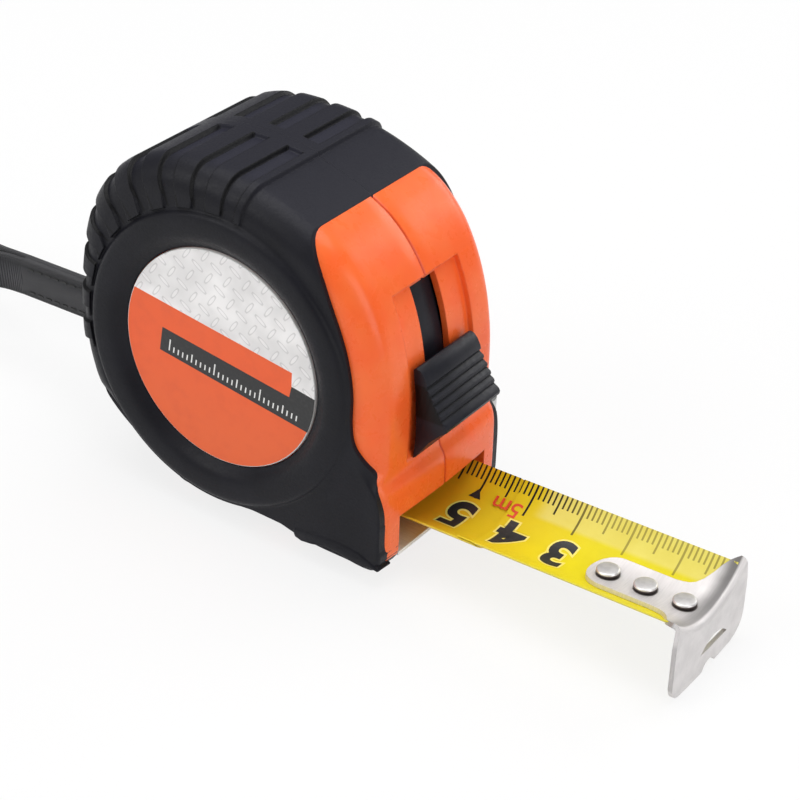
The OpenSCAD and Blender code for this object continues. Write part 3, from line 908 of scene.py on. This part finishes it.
class TAPE_OT_strap(bpy.types.Operator):
    """Wrist strap: the sewn end at the case and the loop"""
    bl_idname = "tape.strap"
    bl_label = "Wrist strap"

    def execute(self, context):
        line = smooth_run(STRAP_MARKS, 8)
        loop = standing_tape("strap_loop", line, STRAP_WIDTH / 2, STRAP_THICK / 2)
        soften(loop, 50)
        hand_over(loop, "webbing", "case", "strap_webbing", "wrist_strap")

        straight = np.array([(x, 0, STRAP_Z) for x in np.linspace(-27.5, STRAP_OUT_X, 30)], float)
        sewn = standing_tape("strap_sewn_end", straight, STRAP_WIDTH / 2, 1.5)
        soften(sewn, 50)
        hand_over(sewn, "webbing", "case", "strap_webbing", "strap_eye")
        thread = joined("strap_stitches", [
            rod("stitch", (x, -1.52, z), (-1, 0, 0), 0.2, 1.3, 8)
            for z in (STRAP_Z - 2.5, STRAP_Z + 2.5) for x in np.arange(-35.5, -62, -2.1)])
        soften(thread)
        hand_over(thread, "ink", "case", "strap_webbing")
        return {"FINISHED"}


# ---------------------------------------------------------------- rubber jackets

# raised ring round the label, from its foot inwards: distance from the reel's middle and from y = 0
RING = [(28.2, 20.0), (27.9, 20.06), (27.66, 20.3), (27.48, 20.62), (27.2, 20.88), (26.7, 21.02),
        (26.0, 21.05), (25.0, 21.02), (24.0, 20.94), (23.2, 20.76), (22.5, 20.4), (21.95, 19.95),
        (21.5, 19.55), (21.1, 19.3), (20.72, 19.0)]
# the grips, in degrees from upright: front of the first ridge, and where the last one stops
GRIP_FRONT = 11.4
GRIP_LAST = -109.0
# half width of the plain band between the grips of both sides
BAND = 2.25
# foot of the ring round the label, from the reel's middle
RING_FOOT = 28.35
# where the screws go in, seen from the side
SCREWS = ((-23, 13.3), (-20.8, 55.8), (15.2, 57), (18.6, 13.2))


def signed(angles):
    return np.where(angles > 180, angles - 360, angles)


def grip_sizes():
    """Pitch of the ridges, front edge of the first pocket and size of a pocket, in degrees."""
    sizes = case_sizes()
    return [math.degrees(a) for a in (sizes.grip_pitch, sizes.grip_start, sizes.pocket_angle)]


def ridge_share(angles):
    """1 on a ridge and 0 in a pocket."""
    pitch, start, pocket = grip_sizes()
    turn = signed(angles)
    phase = np.mod(start - turn, pitch)
    floor = (step_up(phase, -0.3, 0.3) * (1 - step_up(phase, pocket - 0.3, pocket + 0.3))
             + step_up(phase, pitch - 0.3, pitch + 0.3))
    floor = np.where(turn > start + 0.31, 0, floor)
    ahead = 1 - step_up(turn, GRIP_FRONT - 0.7, GRIP_FRONT)
    return np.clip(1 - floor, 0, 1) * ahead * step_up(turn, GRIP_LAST, GRIP_LAST + 1)


def grip_share(angles):
    """1 where the band between the grips is raised."""
    turn = signed(angles)
    return (1 - step_up(turn, GRIP_FRONT - 0.7, GRIP_FRONT)) * step_up(turn, -117, -114)


def jacket_angles():
    """Angles of the sections, close together at the steps of the grips."""
    pitch, edge, pocket = grip_sizes()
    found = [GRIP_FRONT + d for d in (-1.2, -0.7, -0.5, -0.35, -0.2, 0)]
    while edge > GRIP_LAST:
        for e in (edge, edge - pocket):
            found += [e + d for d in (-0.3, -0.17, 0, 0.17, 0.3)]
        found += [edge - pocket * t for t in (0.25, 0.5, 0.75)]
        found += [edge - pocket - (pitch - pocket) * t for t in (0.15, 0.4, 0.6, 0.85)]
        edge -= pitch
    found += [GRIP_LAST, GRIP_LAST + 0.5, GRIP_LAST + 1]
    found += list(np.arange(-180, GRIP_LAST, 1.2)) + list(np.arange(12.6, 180, 1.2))
    found = np.unique(np.round(found, 3))
    found = found[np.r_[True, np.diff(found) > 0.1]]
    return np.r_[found, found[0] + 360]


# rounding along the side edge, by angle: radial depth, sideways depth and straightness
EDGE_ANGLES = [-180, -168, -150, -133, -120, -100, 100, 114, 118, 134, 139, 150, 155, 168, 180]
EDGE_SHAPE = (
    [4.5, 5.5, 6.5, 6.5, 5.4, 4.6, 4.6, 4, 0.8, 0.8, 2.6, 3.6, 4.5, 4.5, 4.5],
    [8, 8.5, 9, 8.5, 6.4, 4.8, 4.8, 4, 0.8, 0.8, 4, 6, 8, 8, 8],
    [1, 1, 1, 0.8, 0.2, 0, 0, 0, 0, 0, 0.5, 0.9, 1, 1, 1],
)


def rubber_half():
    """The rubber on the label side as one closed ring of sections."""
    sizes = case_sizes()
    angles = jacket_angles()
    far = reach_at(OUTLINE, angles)[:, None]
    ridge = ridge_share(angles)[:, None]
    grip = grip_share(angles)[:, None]
    flat = sizes.jacket_half_width / MM - 0.45
    deep, wide, plain = (np.interp(signed(angles), EDGE_ANGLES, row)[:, None] for row in EDGE_SHAPE)
    turn = np.radians(angles)[:, None]
    # the rounding stays clear of the ring's foot
    room = far + (HUB[0] - REEL[0]) * np.sin(turn) + (HUB[1] - REEL[1]) * np.cos(turn)
    deep = np.minimum(deep, room - RING_FOOT - 0.05)
    tall = sizes.ridge_height / MM
    columns = []
    inner_y = BAND + 0.6
    for y in (0, 0.6, 1.2, 1.8, BAND - 0.15, BAND - 0.08, BAND, BAND + 0.08, BAND + 0.15, inner_y):
        band = 1 - step_up(y, BAND - 0.15, BAND + 0.15)
        height = tall * (band * grip + (1 - band) * ridge)
        columns.append((far + height, y, 0))
    for t in (0.15, 0.32, 0.5, 0.68, 0.85):
        columns.append((far + tall * ridge, inner_y + t * (flat - wide - inner_y), 0))
    for part in np.linspace(0, 1, 13):
        a = math.pi / 2 * part
        raised = ridge * (tall * math.cos(a) ** 2 + 0.5 * math.sin(a) ** 2)
        round_r, round_y = deep * (1 - math.cos(a)), wide * (1 - math.sin(a))
        r = far - round_r * (1 - plain) - deep * part * plain + raised * math.cos(a)
        y = flat - round_y * (1 - plain) - wide * (1 - part) * plain + raised * math.sin(a)
        columns.append((r, y, 0))
    for t in (0.15, 0.35, 0.6, 0.8, 0.92, 1.0):
        r = (far - deep) + t * (RING_FOOT - (far - deep))
        columns.append((r, flat + 0.5 * ridge, t))
    columns += [(r, y, 1) for r, y in RING + [(20.72, 18.9)]]
    inner = inside_reach(angles, 1.8)[:, None]
    columns += [(inner - 1.2, 18.9, 0), (inner, 17.2, 0), (inner, 0, 0)]
    return ring_of("jacket_label_side", angles, columns)


def chin_rail():
    """Raised lip along the lower front edge of the rubber."""
    rail = prism("rail", [
        (15.6, 4.4), (15.4, 3.6), (15.8, 2.7), (17.2, 2.3), (19.4, 2.5), (22.4, 3.1), (25.2, 2.6),
        (28, 1.7), (30.4, 1.3), (31.6, 1.8), (33.6, 1.5), (33.8, 2.0), (32, 2.8), (29.4, 4),
        (25, 4.8), (20, 5)], -20.2, -16)
    bevelled(rail, 0.5, 3, 20)
    bow_front(rail)
    return rail


def screw_holes(piece, solver):
    for x, z in SCREWS:
        cut_out(piece, rod("hole", (x, 15, z), (0, 1, 0), 2.2, 10, 32), solver)


def box_cutter(low, high):
    x0, y0, z0 = low
    x1, y1, z1 = high
    return prism("box", [(x0, z0), (x1, z0), (x1, z1), (x0, z1)], y0, y1)


class TAPE_OT_jackets(bpy.types.Operator):
    """Rubber jackets with their grip ridges and label rings"""
    bl_idname = "tape.jackets"
    bl_label = "Rubber jackets"

    def execute(self, context):
        near = rubber_half()
        cut_out(near, prism("window", WINDOW, -30, 30))
        # mouth of the blade, and outlet of the strap
        cut_out(near, box_cutter((12, -13.5, -4), (40, 1, 10.5)))
        cut_out(near, box_cutter((-37, -1.7, 14.9), (-24, 1, 25.3)))
        far = mirrored_copy(near, "jacket_clip_side")
        screw_holes(far, "MANIFOLD")
        bow_front(near)
        bow_front(far)
        rail = chin_rail()
        other = mirrored_copy(rail, "rail_clip_side")
        near = joined("jacket_label_side", [near, rail])
        far = joined("jacket_clip_side", [far, other])
        for piece, nodes in ((near, ("label_side_jacket", "label_side_grip")),
                             (far, ("clip_side_jacket", "clip_side_grip"))):
            soften(piece, 34)
            hand_over(piece, "rubber", "case", "black_rubber", *nodes)
        return {"FINISHED"}


# ---------------------------------------------------------------- orange shell

def shell_angles():
    """Angles of the sections, closer together over the front."""
    found = np.r_[np.arange(-180, 24, 2.0), np.arange(24, 136, 0.7), np.arange(136, 180, 2.0),
                  27.6, 28.0, 28.4, 60.4, 60.6, 60.75, 60.9, 132.0, 133.0]
    found = np.unique(np.round(found, 3))
    return np.r_[found, found[0] + 360]


def shell_half():
    """One orange half: full size in the window, under the rubber elsewhere."""
    sizes = case_sizes()
    angles = shell_angles()
    turn = signed(angles)[:, None]
    full = step_up(turn, 27.6, 28.4) * (1 - step_up(turn, 132, 133))
    block = step_up(turn, 112.5, 115.0)
    far = reach_at(OUTLINE, angles)[:, None]
    far = far - 1.95 * (1 - full) - 0.12 * full * (1 - step_up(turn, 34, 40))
    width = sizes.shell_half_width / MM + 0.1 * block * full
    soft = (5.0 - 2.8 * block) * full + 4.0 * (1 - full)
    track = step_up(turn, 60.4, 60.9) * (1 - step_up(turn, 112.0, 113.5))
    columns = []
    for y, drop in ((0, 0.24), (0.12, 0.2), (0.26, 0.06), (0.42, 0), (3.2, 0), (6.5, 0), (9.3, 0),
                    (9.72, 0), (9.8, 0), (9.88, 0), (10.3, 0), (12, 0)):
        # the lock's track is 1 mm deep
        columns.append((far - drop - track * (1 - step_up(y, 9.7, 9.9)), y, 0))
    columns.append((far, (12 + width - soft) / 2, 0))
    for a in np.radians(np.linspace(0, 90, 10)):
        columns.append((far - soft + soft * math.cos(a), width - soft + soft * math.sin(a), 0))
    columns.append((0.5 * (far - soft) + 12.0, width, 0))
    # recess of the label disc and the hole for the spindle
    columns += [(r, y, 1) for r, y in ((21.2, width), (20.9, 18.8), (20.9, 17.05), (4.1, 17.05),
                                       (4.1, 16.2))]
    inner = inside_reach(angles, 2.2)[:, None] - 1.95 * (1 - full)
    columns += [(inner - 1, 16.2, 0), (inner, 15, 0), (inner, 0, 0)]
    return ring_of("shell_label_side", angles, columns)


# middle of the arc that the lock slides on
LOCK = (-30.8, 23.8)
LOCK_SLIDE_RADIUS = 61.7
SLOT_HALF = 3.75


def lock_sector(inner, outer, start, end):
    """Part of a ring about the middle of the lock's arc."""
    return arc(LOCK, outer, start, end, 24) + arc(LOCK, inner, end, start, 24)


class TAPE_OT_shell(bpy.types.Operator):
    """Orange shell halves with the track of the lock, the slot and the mouth"""
    bl_idname = "tape.shell"
    bl_label = "Orange shell"

    def execute(self, context):
        near = shell_half()
        # mouth, room over the floor for the blade as it is drawn in, slot and outlet of the strap
        for low, high in (((12, -13.4, 1.9), (40, 1, 10.5)), ((-13.5, -13.4, 3.3), (13, 1, 9)),
                          ((22, -SLOT_HALF, 22), (40, 1, 49)), ((-37, -1.8, 14.8), (-24, 1, 25.4))):
            cut_out(near, box_cutter(low, high))
        # room behind the front wall for the lock's slide
        groove = lock_sector(57, LOCK_SLIDE_RADIUS + 0.25, 18, 34)
        cut_out(near, prism("groove", groove, -SLOT_HALF - 0.05, 1))
        bow_front(near)
        far = mirrored_copy(near, "shell_clip_side")
        screw_holes(far, "EXACT")
        for piece, node in ((near, "label_case_half"), (far, "clip_case_half")):
            soften(piece, 30)
            hand_over(piece, "orange", "case", "orange_abs", node)
        return {"FINISHED"}


# ---------------------------------------------------------------- label

DISC_FOOT = 17.05
LABEL_FACE = 19.32


def label_disc(name, side):
    disc = rod(name, (REEL[0], side * DISC_FOOT, REEL[1]), (0, side, 0),
               case_sizes().label_radius / MM, LABEL_FACE - DISC_FOOT, 128)
    bevelled(disc, 0.25, 2)
    soften(disc)
    return disc


def label_shape(name, outline, face=LABEL_FACE, thick=0.05):
    """A flat printed field, drawn from the disc's middle."""
    points = [(REEL[0] + x, REEL[1] + z) for x, z in outline]
    return prism(name, points, -face, -face - thick)


def angle_of(x, z):
    return math.degrees(math.atan2(z, x))


class TAPE_OT_label(bpy.types.Operator):
    """Round label: pale cap, orange fields, black bar with a plain scale"""
    bl_idname = "tape.label"
    bl_label = "Label"

    def execute(self, context):
        disc = label_disc("label_disc_face", -1)
        shown = case_sizes().label_radius / MM - 0.12
        field = label_shape("label_field", arc((0, 0), shown - 0.1, 0, 357.2, 128),
                            LABEL_FACE - 0.02)
        bar_low, bar_high = angle_of(18.45, -7.45), angle_of(20.4, -0.64)
        cap_end = angle_of(-18.6, 8.23)
        cap = label_shape("label_cap", arc((0, 0), shown, bar_high, cap_end, 65)
                          + [(-14.75, 7.65), (15.67, 2.9), (15.6, 0.22)])
        bar = label_shape("label_bar", [(-12.5, 2.2), (-13.2, -2.5)]
                          + arc((0, 0), shown, bar_low, bar_high, 7)
                          + [(15.6, 0.22), (15.1, -2.05)])
        slope = math.radians(-8.7)
        ahead = Vector((math.cos(slope), math.sin(slope)))
        upward = Vector((-math.sin(slope), math.cos(slope)))
        ticks = []
        for k in range(29):
            foot = Vector((-11.1, -2.0)) + k * ahead
            aside = ahead * 0.13
            up = upward * (2.3 if k % 10 == 0 else 1.7 if k % 5 == 0 else 1.1)
            corners = (foot - aside, foot + aside, foot + aside + up, foot - aside + up)
            ticks.append(label_shape("tick", corners, LABEL_FACE + 0.05, 0.02))
        scale = joined("label_scale", ticks)
        plain = label_disc("clip_disc_face", 1)
        for piece, kind, nodes in (
                (disc, "label_white", ["label_disc"]), (field, "label_orange", []),
                (cap, "label_pale", []), (bar, "label_black", []), (scale, "label_white", []),
                (plain, "label_orange", ["clip_side_disc"])):
            hand_over(piece, kind, "case", "label_print", *nodes)
        return {"FINISHED"}


# ---------------------------------------------------------------- blade

def cup():
    """Outer radius of the blade's section, half its angle and the height of its centre."""
    sizes = blade_sizes()
    radius = sizes.section_radius / MM
    angle = sizes.width / MM / radius / 2
    return radius, angle, sizes.edge_height / MM + radius * math.cos(angle)


def cupped_strip(name, x0, x1, below, steps, thick):
    """A strip of blade whose outer face lies this far below the section's outer radius."""
    radius, angle, middle = cup()
    inner, outer = radius + below - thick, radius + below
    grid = []
    for x in np.linspace(x0, x1, steps):
        # the hidden end of the lower strip is a little narrower
        share = np.interp(x, [43.2, 43.8], [1, 0.97]) if below else 1
        turns = np.linspace(-angle * share, angle * share, 41)
        loop = [(x, inner * math.sin(t), middle - inner * math.cos(t)) for t in turns]
        loop += [(x, outer * math.sin(t), middle - outer * math.cos(t)) for t in turns[::-1]]
        grid.append(loop + loop[:1])
    piece = sheet_of(name, grid)
    with edit_mode(piece):
        bpy.ops.mesh.select_all(action="DESELECT")
        bpy.ops.mesh.select_non_manifold()
        bpy.ops.mesh.fill_holes(sides=0)
        bpy.ops.mesh.select_all(action="SELECT")
        bpy.ops.mesh.normals_make_consistent(inside=False)
    soften(piece)
    return piece


def printed(name, text, middle, height, heavy, lift, squeeze=1.0):
    """A figure on the blade, its head towards -y, laid on the cup of the blade."""
    deselect()
    bpy.ops.object.text_add()
    words = bpy.context.object
    words.data.body = text
    words.data.align_x = "CENTER"
    words.data.align_y = "CENTER"
    words.data.size = 1.0
    words.data.offset = heavy
    words.data.resolution_u = 6
    bpy.ops.object.convert(target="MESH")
    piece = bpy.context.object
    piece.name = name
    with edit_mode(piece):
        bpy.ops.mesh.quads_convert_to_tris()
        bpy.ops.mesh.subdivide(number_cuts=3)
        bpy.ops.mesh.subdivide(number_cuts=1)
    at = points_of(piece)
    low, high = at.min(axis=0), at.max(axis=0)
    at -= (low + high) / 2
    at *= height / (high[1] - low[1])
    radius, _, centre = cup()
    bed = radius - blade_sizes().thickness / MM
    y = bed * np.sin((middle[1] - at[:, 1]) / bed)
    z = centre - np.sqrt(bed ** 2 - y ** 2) + lift
    set_points(piece, np.stack([middle[0] - at[:, 0] * squeeze, y, z], axis=1))
    return piece


# how far the feed length lies under the front length
FEED_DROP = 0.26


class TAPE_OT_blade(bpy.types.Operator):
    """Blade with its printed scale"""
    bl_idname = "tape.blade"
    bl_label = "Blade"

    def execute(self, context):
        sizes = blade_sizes()
        front = cupped_strip("blade_out", 43.5, sizes.scale_zero / MM - 0.5, 0.0, 24,
                             sizes.thickness / MM)
        hand_over(front, "blade", "pulled_blade", "yellow_blade", "blade_front")
        feed = cupped_strip("blade_in", 25.4, 46.5, FEED_DROP, 12, 0.18)
        hand_over(feed, "blade", "feed_blade", "yellow_blade", "blade_feed")
        for figure, x, y, body, drop in (("5", 36.1, 0.6, "feed_blade", FEED_DROP),
                                         ("4", 47.2, 0.2, "pulled_blade", 0),
                                         ("3", 56.9, 0.5, "pulled_blade", 0)):
            halo = printed("halo_" + figure, figure, (x, y), 8.6, 0.075, 0.025 - drop)
            hand_over(halo, "halo", body, "yellow_blade")
            mark = printed("figure_" + figure, figure, (x, y), 7.9, 0.035, 0.045 - drop)
            hand_over(mark, "ink", body, "yellow_blade")
        metres = printed("figure_metres", "5m", (42.9, 6.2), 3.2, 0.008, 0.035, 1.05)
        hand_over(metres, "red_ink", "pulled_blade", "yellow_blade")
        arrow = printed("scale_arrow", "\u25bc", (36.35, 6.95), 2.1, 0, 0.02 - FEED_DROP)
        hand_over(arrow, "ink", "feed_blade", "yellow_blade")
        return {"FINISHED"}


# ---------------------------------------------------------------- hook and rivets

RIVETS_X = (67.2, 74.5, 82.0)
# outer face of the hook's plate, and outer radius of its bend
HOOK_OUT_X = 87.3
HOOK_BEND = 1.3


def hook_sheet():
    """Outer face of the hook: tongue in the cup of the blade, bend, and plate."""
    share = np.linspace(-1, 1, 61)

    def bed(x, y):
        r = np.interp(x, [80, 85.5], [13.65, 16.8])
        return 5.35 + r - np.sqrt(r * r - y * y)

    rows = []
    for x in (63.6, 63.66, 63.85, 64.2, 64.7, 65.4, 66.3, 67.2, 68.1, 69.4, 71, 73, 75, 76.6, 78,
              79.2, 80.2, 81.1, 82, 82.9, 83.8, 84.6, 85.4, 86.0):
        half = np.interp(x, [68.1, 78, 80, 81.2, 82.2, 83.1, 84, 85, 86],
                         [4.5, 4.5, 4.8, 5.5, 6.8, 8.5, 10.2, 11.3, 11.9])
        if x < 68.1:
            half = math.sqrt(max(4.5 ** 2 - (68.1 - x) ** 2, 0.0))
        y = share * half
        rows.append(np.stack([0 * y + x, y, bed(x, y)], axis=1))
    top_y = share * 11.9
    top_z = bed(86.0, top_y)
    for a in np.radians(np.linspace(11, 90, 8)):
        rows.append(np.stack([0 * top_y + HOOK_OUT_X - HOOK_BEND + HOOK_BEND * math.sin(a), top_y,
                              top_z - HOOK_BEND * (1 - math.cos(a))], axis=1))
    low_y = share * 12.5
    low_z = np.interp(
        low_y, [-12.5, -12.3, -11.9, -11.2, -10.1, -7, -2.5, 3.6, 8.2, 10.2, 11.6, 12.3, 12.5],
        [-2.6, -3.5, -4.3, -4.95, -5.35, -5.5, -5.5, -5.3, -5.0, -4.4, -3.2, -2.0, -0.8])
    for t in np.linspace(0, 1, 22)[1:]:
        y = top_y + (low_y - top_y) * min(1, 3 * t)
        z = (top_z - HOOK_BEND) * (1 - t) + low_z * t
        rows.append(np.stack([0 * y + HOOK_OUT_X, y, z], axis=1))
    return sheet_of("hook", np.array(rows), merge=False)


def face_outwards(piece, way):
    """Turns an open sheet so that its faces look along way on the whole."""
    close_up(piece)
    normals = np.empty(len(piece.data.polygons) * 3)
    piece.data.polygons.foreach_get("normal", normals)
    if normals.reshape(-1, 3).mean(axis=0) @ np.array(way, float) < 0:
        turn_over(piece)


class TAPE_OT_hook(bpy.types.Operator):
    """End hook with its window and notch, and the three rivets"""
    bl_idname = "tape.hook"
    bl_label = "End hook"

    def execute(self, context):
        hook = hook_sheet()
        face_outwards(hook, (1, 0, 1))
        thicken(hook, 0.8)
        for x in RIVETS_X:
            slot = arc((x + 0.5, 0), 1.15, -90, 90, 12) + arc((x - 0.5, 0), 1.15, 90, 270, 12)
            cut_out(hook, prism("slot", slot, 2, 8, "z"))
        moon = arc((1.8, -5.7), 6.3, 42, 138, 16)
        cut_out(hook, prism("moon", moon, 84, 90, "x"))
        notch = arc((0.6, -6.4), 2.4, 0, 348.75, 32)
        cut_out(hook, prism("notch", notch, 84, 90, "x"))
        soften(hook, 40)
        hand_over(hook, "steel", "hook", "hook_steel", "end_hook")
        parts = []
        for x in RIVETS_X:
            head = rod("head", (x, 0, 5.56), (0, 0, 1), 2.1, 0.85, 40)
            foot = rod("foot", (x, 0, 4.3), (0, 0, -1), 1.7, 0.75, 32)
            for end in (head, foot):
                bevelled(end, 0.3)
            parts += [head, rod("shank", (x, 0, 4.0), (0, 0, 1), 0.96, 1.7, 24), foot]
        rivets = joined("rivets", parts)
        soften(rivets, 45)
        hand_over(rivets, "rivet", "pulled_blade", "plain_steel", "hook_rivets")
        return {"FINISHED"}


# ---------------------------------------------------------------- lock

# side view of the button
BUTTON_PROFILE = [
    (31.55, 36.7), (32.2, 37.05), (33.0, 36.85), (33.75, 36.1), (34.35, 35.0), (34.55, 34.3),
    (34.25, 33.8), (34.6, 33.55), (35.15, 33.25), (35.28, 32.8), (35.08, 32.45), (35.45, 32.2),
    (35.95, 31.95), (36.1, 31.5), (35.9, 31.15), (36.25, 30.9), (36.75, 30.6), (36.9, 30.15),
    (36.7, 29.8), (37.05, 29.6), (37.55, 29.3), (37.7, 28.85), (37.52, 28.5), (38.0, 28.25),
    (38.6, 27.85), (38.9, 27.3), (38.8, 26.75), (38.35, 26.3), (37.6, 25.75), (35.3, 23.5),
    (32.6, 19.6), (32.05, 19.2), (32.45, 23.0), (32.45, 27.0), (32.15, 32.0),
]


class TAPE_OT_lock(bpy.types.Operator):
    """Thumb button and the slide that shows in the slot"""
    bl_idname = "tape.lock"
    bl_label = "Thumb lock"

    def execute(self, context):
        button = prism("thumb_button", BUTTON_PROFILE, -8.4, 8.4)
        slide = prism("lock_slide", lock_sector(60.3, LOCK_SLIDE_RADIUS, -1.4, 25.2), -3.6, 3.6)
        for piece, edge, nodes in ((button, 0.22, ["lock_button"]), (slide, 0.15, [])):
            bevelled(piece, edge, 2, 60)
            soften(piece, 32)
            hand_over(piece, "button", "thumb_lock", "button_plastic", *nodes)
        return {"FINISHED"}


# ---------------------------------------------------------------- belt clip and small parts

CLIP_FOOT_Z = 3.2
CLIP_SCREW_X, CLIP_SCREW_Z = 19, 9.2


def clip_bar(name, y, radius, length, sides, taper=1.0):
    """A round bar on the axis of the clip's screw."""
    return rod(name, (CLIP_SCREW_X, y, CLIP_SCREW_Z), (0, 1, 0), radius, length, sides, taper)


class TAPE_OT_belt_clip(bpy.types.Operator):
    """Belt clip bent from one strip, with its screw"""
    bl_idname = "tape.belt_clip"
    bl_label = "Belt clip"

    def execute(self, context):
        low = case_sizes().jacket_half_width / MM + 0.05
        # under the screw, round the bend at the mouth end, back along the case, and the lip
        path = [(8.2, low)] + [(x, low) for x in np.linspace(10, 27.2, 8)]
        path += arc((27.5, low + 2.0), 2.0, -82, 82, 16)
        path += [(x, low + 4.0 - 0.55 * math.sin(math.pi * (27.2 - x) / 41))
                 for x in np.linspace(27.2, -13.4, 16)]
        path += [(x, low + y) for x, y in ((-14.0, 3.9), (-14.6, 3.55), (-14.95, 3.0),
                                           (-15.0, 2.2), (-15.0, 1.2))]
        ups = np.array([0, 0.35, 1.2, 3, 6, 9, 10.8, 11.65, 12.0])
        # the corners of the front end are rounded
        corner = np.maximum(0, 0.9 - np.minimum(ups, 12 - ups))
        trim = 0.9 - np.sqrt(np.maximum(0.81 - corner ** 2, 0))
        grid = np.zeros((len(path), len(ups), 3))
        for i, (x, y) in enumerate(path):
            grid[i, :, 0] = x + (trim if i == 0 else 0)
            grid[i, :, 1] = y
            grid[i, :, 2] = CLIP_FOOT_Z + ups
        clip = sheet_of("belt_clip_strip", grid, merge=False)
        face_outwards(clip, (0, 1, 0))
        thicken(clip, 0.7)
        # hole for the screw, and the one in the outer leaf that a driver goes through
        cut_out(clip, clip_bar("hole", 19, 1.15, 2.6, 32))
        cut_out(clip, clip_bar("hole", 22.6, 2.6, 4, 40))
        soften(clip, 40)
        hand_over(clip, "spring", "case", "spring_steel", "belt_clip")

        head = clip_bar("clip_screw_head", 21.2, 2.2, 1.1, 40, 0.86)
        bevelled(head, 0.2, 2)
        place = Matrix.Translation((CLIP_SCREW_X * MM, 0, CLIP_SCREW_Z * MM))
        for angle in (0, 90):
            slot = box_cutter((-1.25, 21.8, -0.22), (1.25, 23.3, 0.22))
            slot.data.transform(place @ Matrix.Rotation(math.radians(angle), 4, "Y"))
            cut_out(head, slot)
        screw = joined("belt_clip_screw", [head, clip_bar("shank", 14.4, 1.05, 7, 24)])
        soften(screw, 40)
        hand_over(screw, "dark_steel", "case", "dark_steel", "clip_screw")
        return {"FINISHED"}


# the frame's parts that keep their meshes, and their finishes
NODE_FINISHES = {
    "mouth_plate": "plate", "case_screws": "dark_steel", "spindle": "white_plastic",
    "spindle_washers": "white_plastic", "reel_drum": "white_plastic",
    "label_side_flange": "inside", "clip_side_flange": "inside", "blade_coil": "coil",
    "mainspring": "spring", "spring_clip": "dark_steel", "lock_strip": "inside",
    "lock_neck": "inside", "brake_shoe": "inside", "strap_pin": "dark_steel",
}


class TAPE_OT_node_finishes(bpy.types.Operator):
    """Finishes of the parts that keep the frame's own meshes"""
    bl_idname = "tape.node_finishes"
    bl_label = "Finishes of the inner parts"

    def execute(self, context):
        for name, kind in NODE_FINISHES.items():
            node = bpy.data.objects.get(name)
            if node is None:
                raise RuntimeError("no part named " + name)
            for slot in node.material_slots:
                slot.material = finish(kind)
            if not node.material_slots:
                node.data.materials.append(finish(kind))
        return {"FINISHED"}


class TAPE_PT_panel(bpy.types.Panel):
    """Sizes, colours and the steps that build the tape measure"""
    bl_idname = "TAPE_PT_panel"
    bl_label = "Tape Measure"
    bl_space_type = "VIEW_3D"
    bl_region_type = "UI"
    bl_category = "Tape Measure"

    def draw(self, context):
        layout = self.layout
        scene = context.scene
        for group in (scene.tape_case, scene.tape_blade, scene.tape_colours):
            box = layout.box()
            for name in group.bl_rna.properties.keys():
                if name not in ("rna_type", "name"):
                    box.prop(group, name)
        column = layout.column(align=True)
        for kind in CLASSES:
            if issubclass(kind, bpy.types.Operator):
                column.operator(kind.bl_idname)


CLASSES = [
    TapeCaseSizes, TapeBladeSizes, TapeColours, TAPE_OT_stage, TAPE_OT_strap, TAPE_OT_jackets,
    TAPE_OT_shell, TAPE_OT_label, TAPE_OT_blade, TAPE_OT_hook, TAPE_OT_lock, TAPE_OT_belt_clip,
    TAPE_OT_node_finishes, TAPE_PT_panel,
]


def register():
    for kind in CLASSES:
        bpy.utils.register_class(kind)
    scene = bpy.types.Scene
    scene.tape_case = bpy.props.PointerProperty(type=TapeCaseSizes)
    scene.tape_blade = bpy.props.PointerProperty(type=TapeBladeSizes)
    scene.tape_colours = bpy.props.PointerProperty(type=TapeColours)


def unregister():
    del bpy.types.Scene.tape_case
    del bpy.types.Scene.tape_blade
    del bpy.types.Scene.tape_colours
    for kind in reversed(CLASSES):
        bpy.utils.unregister_class(kind)


def main():
    register()
    for step in (bpy.ops.tape.stage, bpy.ops.tape.strap, bpy.ops.tape.shell, bpy.ops.tape.jackets,
                 bpy.ops.tape.label, bpy.ops.tape.blade, bpy.ops.tape.hook, bpy.ops.tape.lock,
                 bpy.ops.tape.belt_clip, bpy.ops.tape.node_finishes):
        step()
    deselect()


if __name__ == "__main__":
    main()
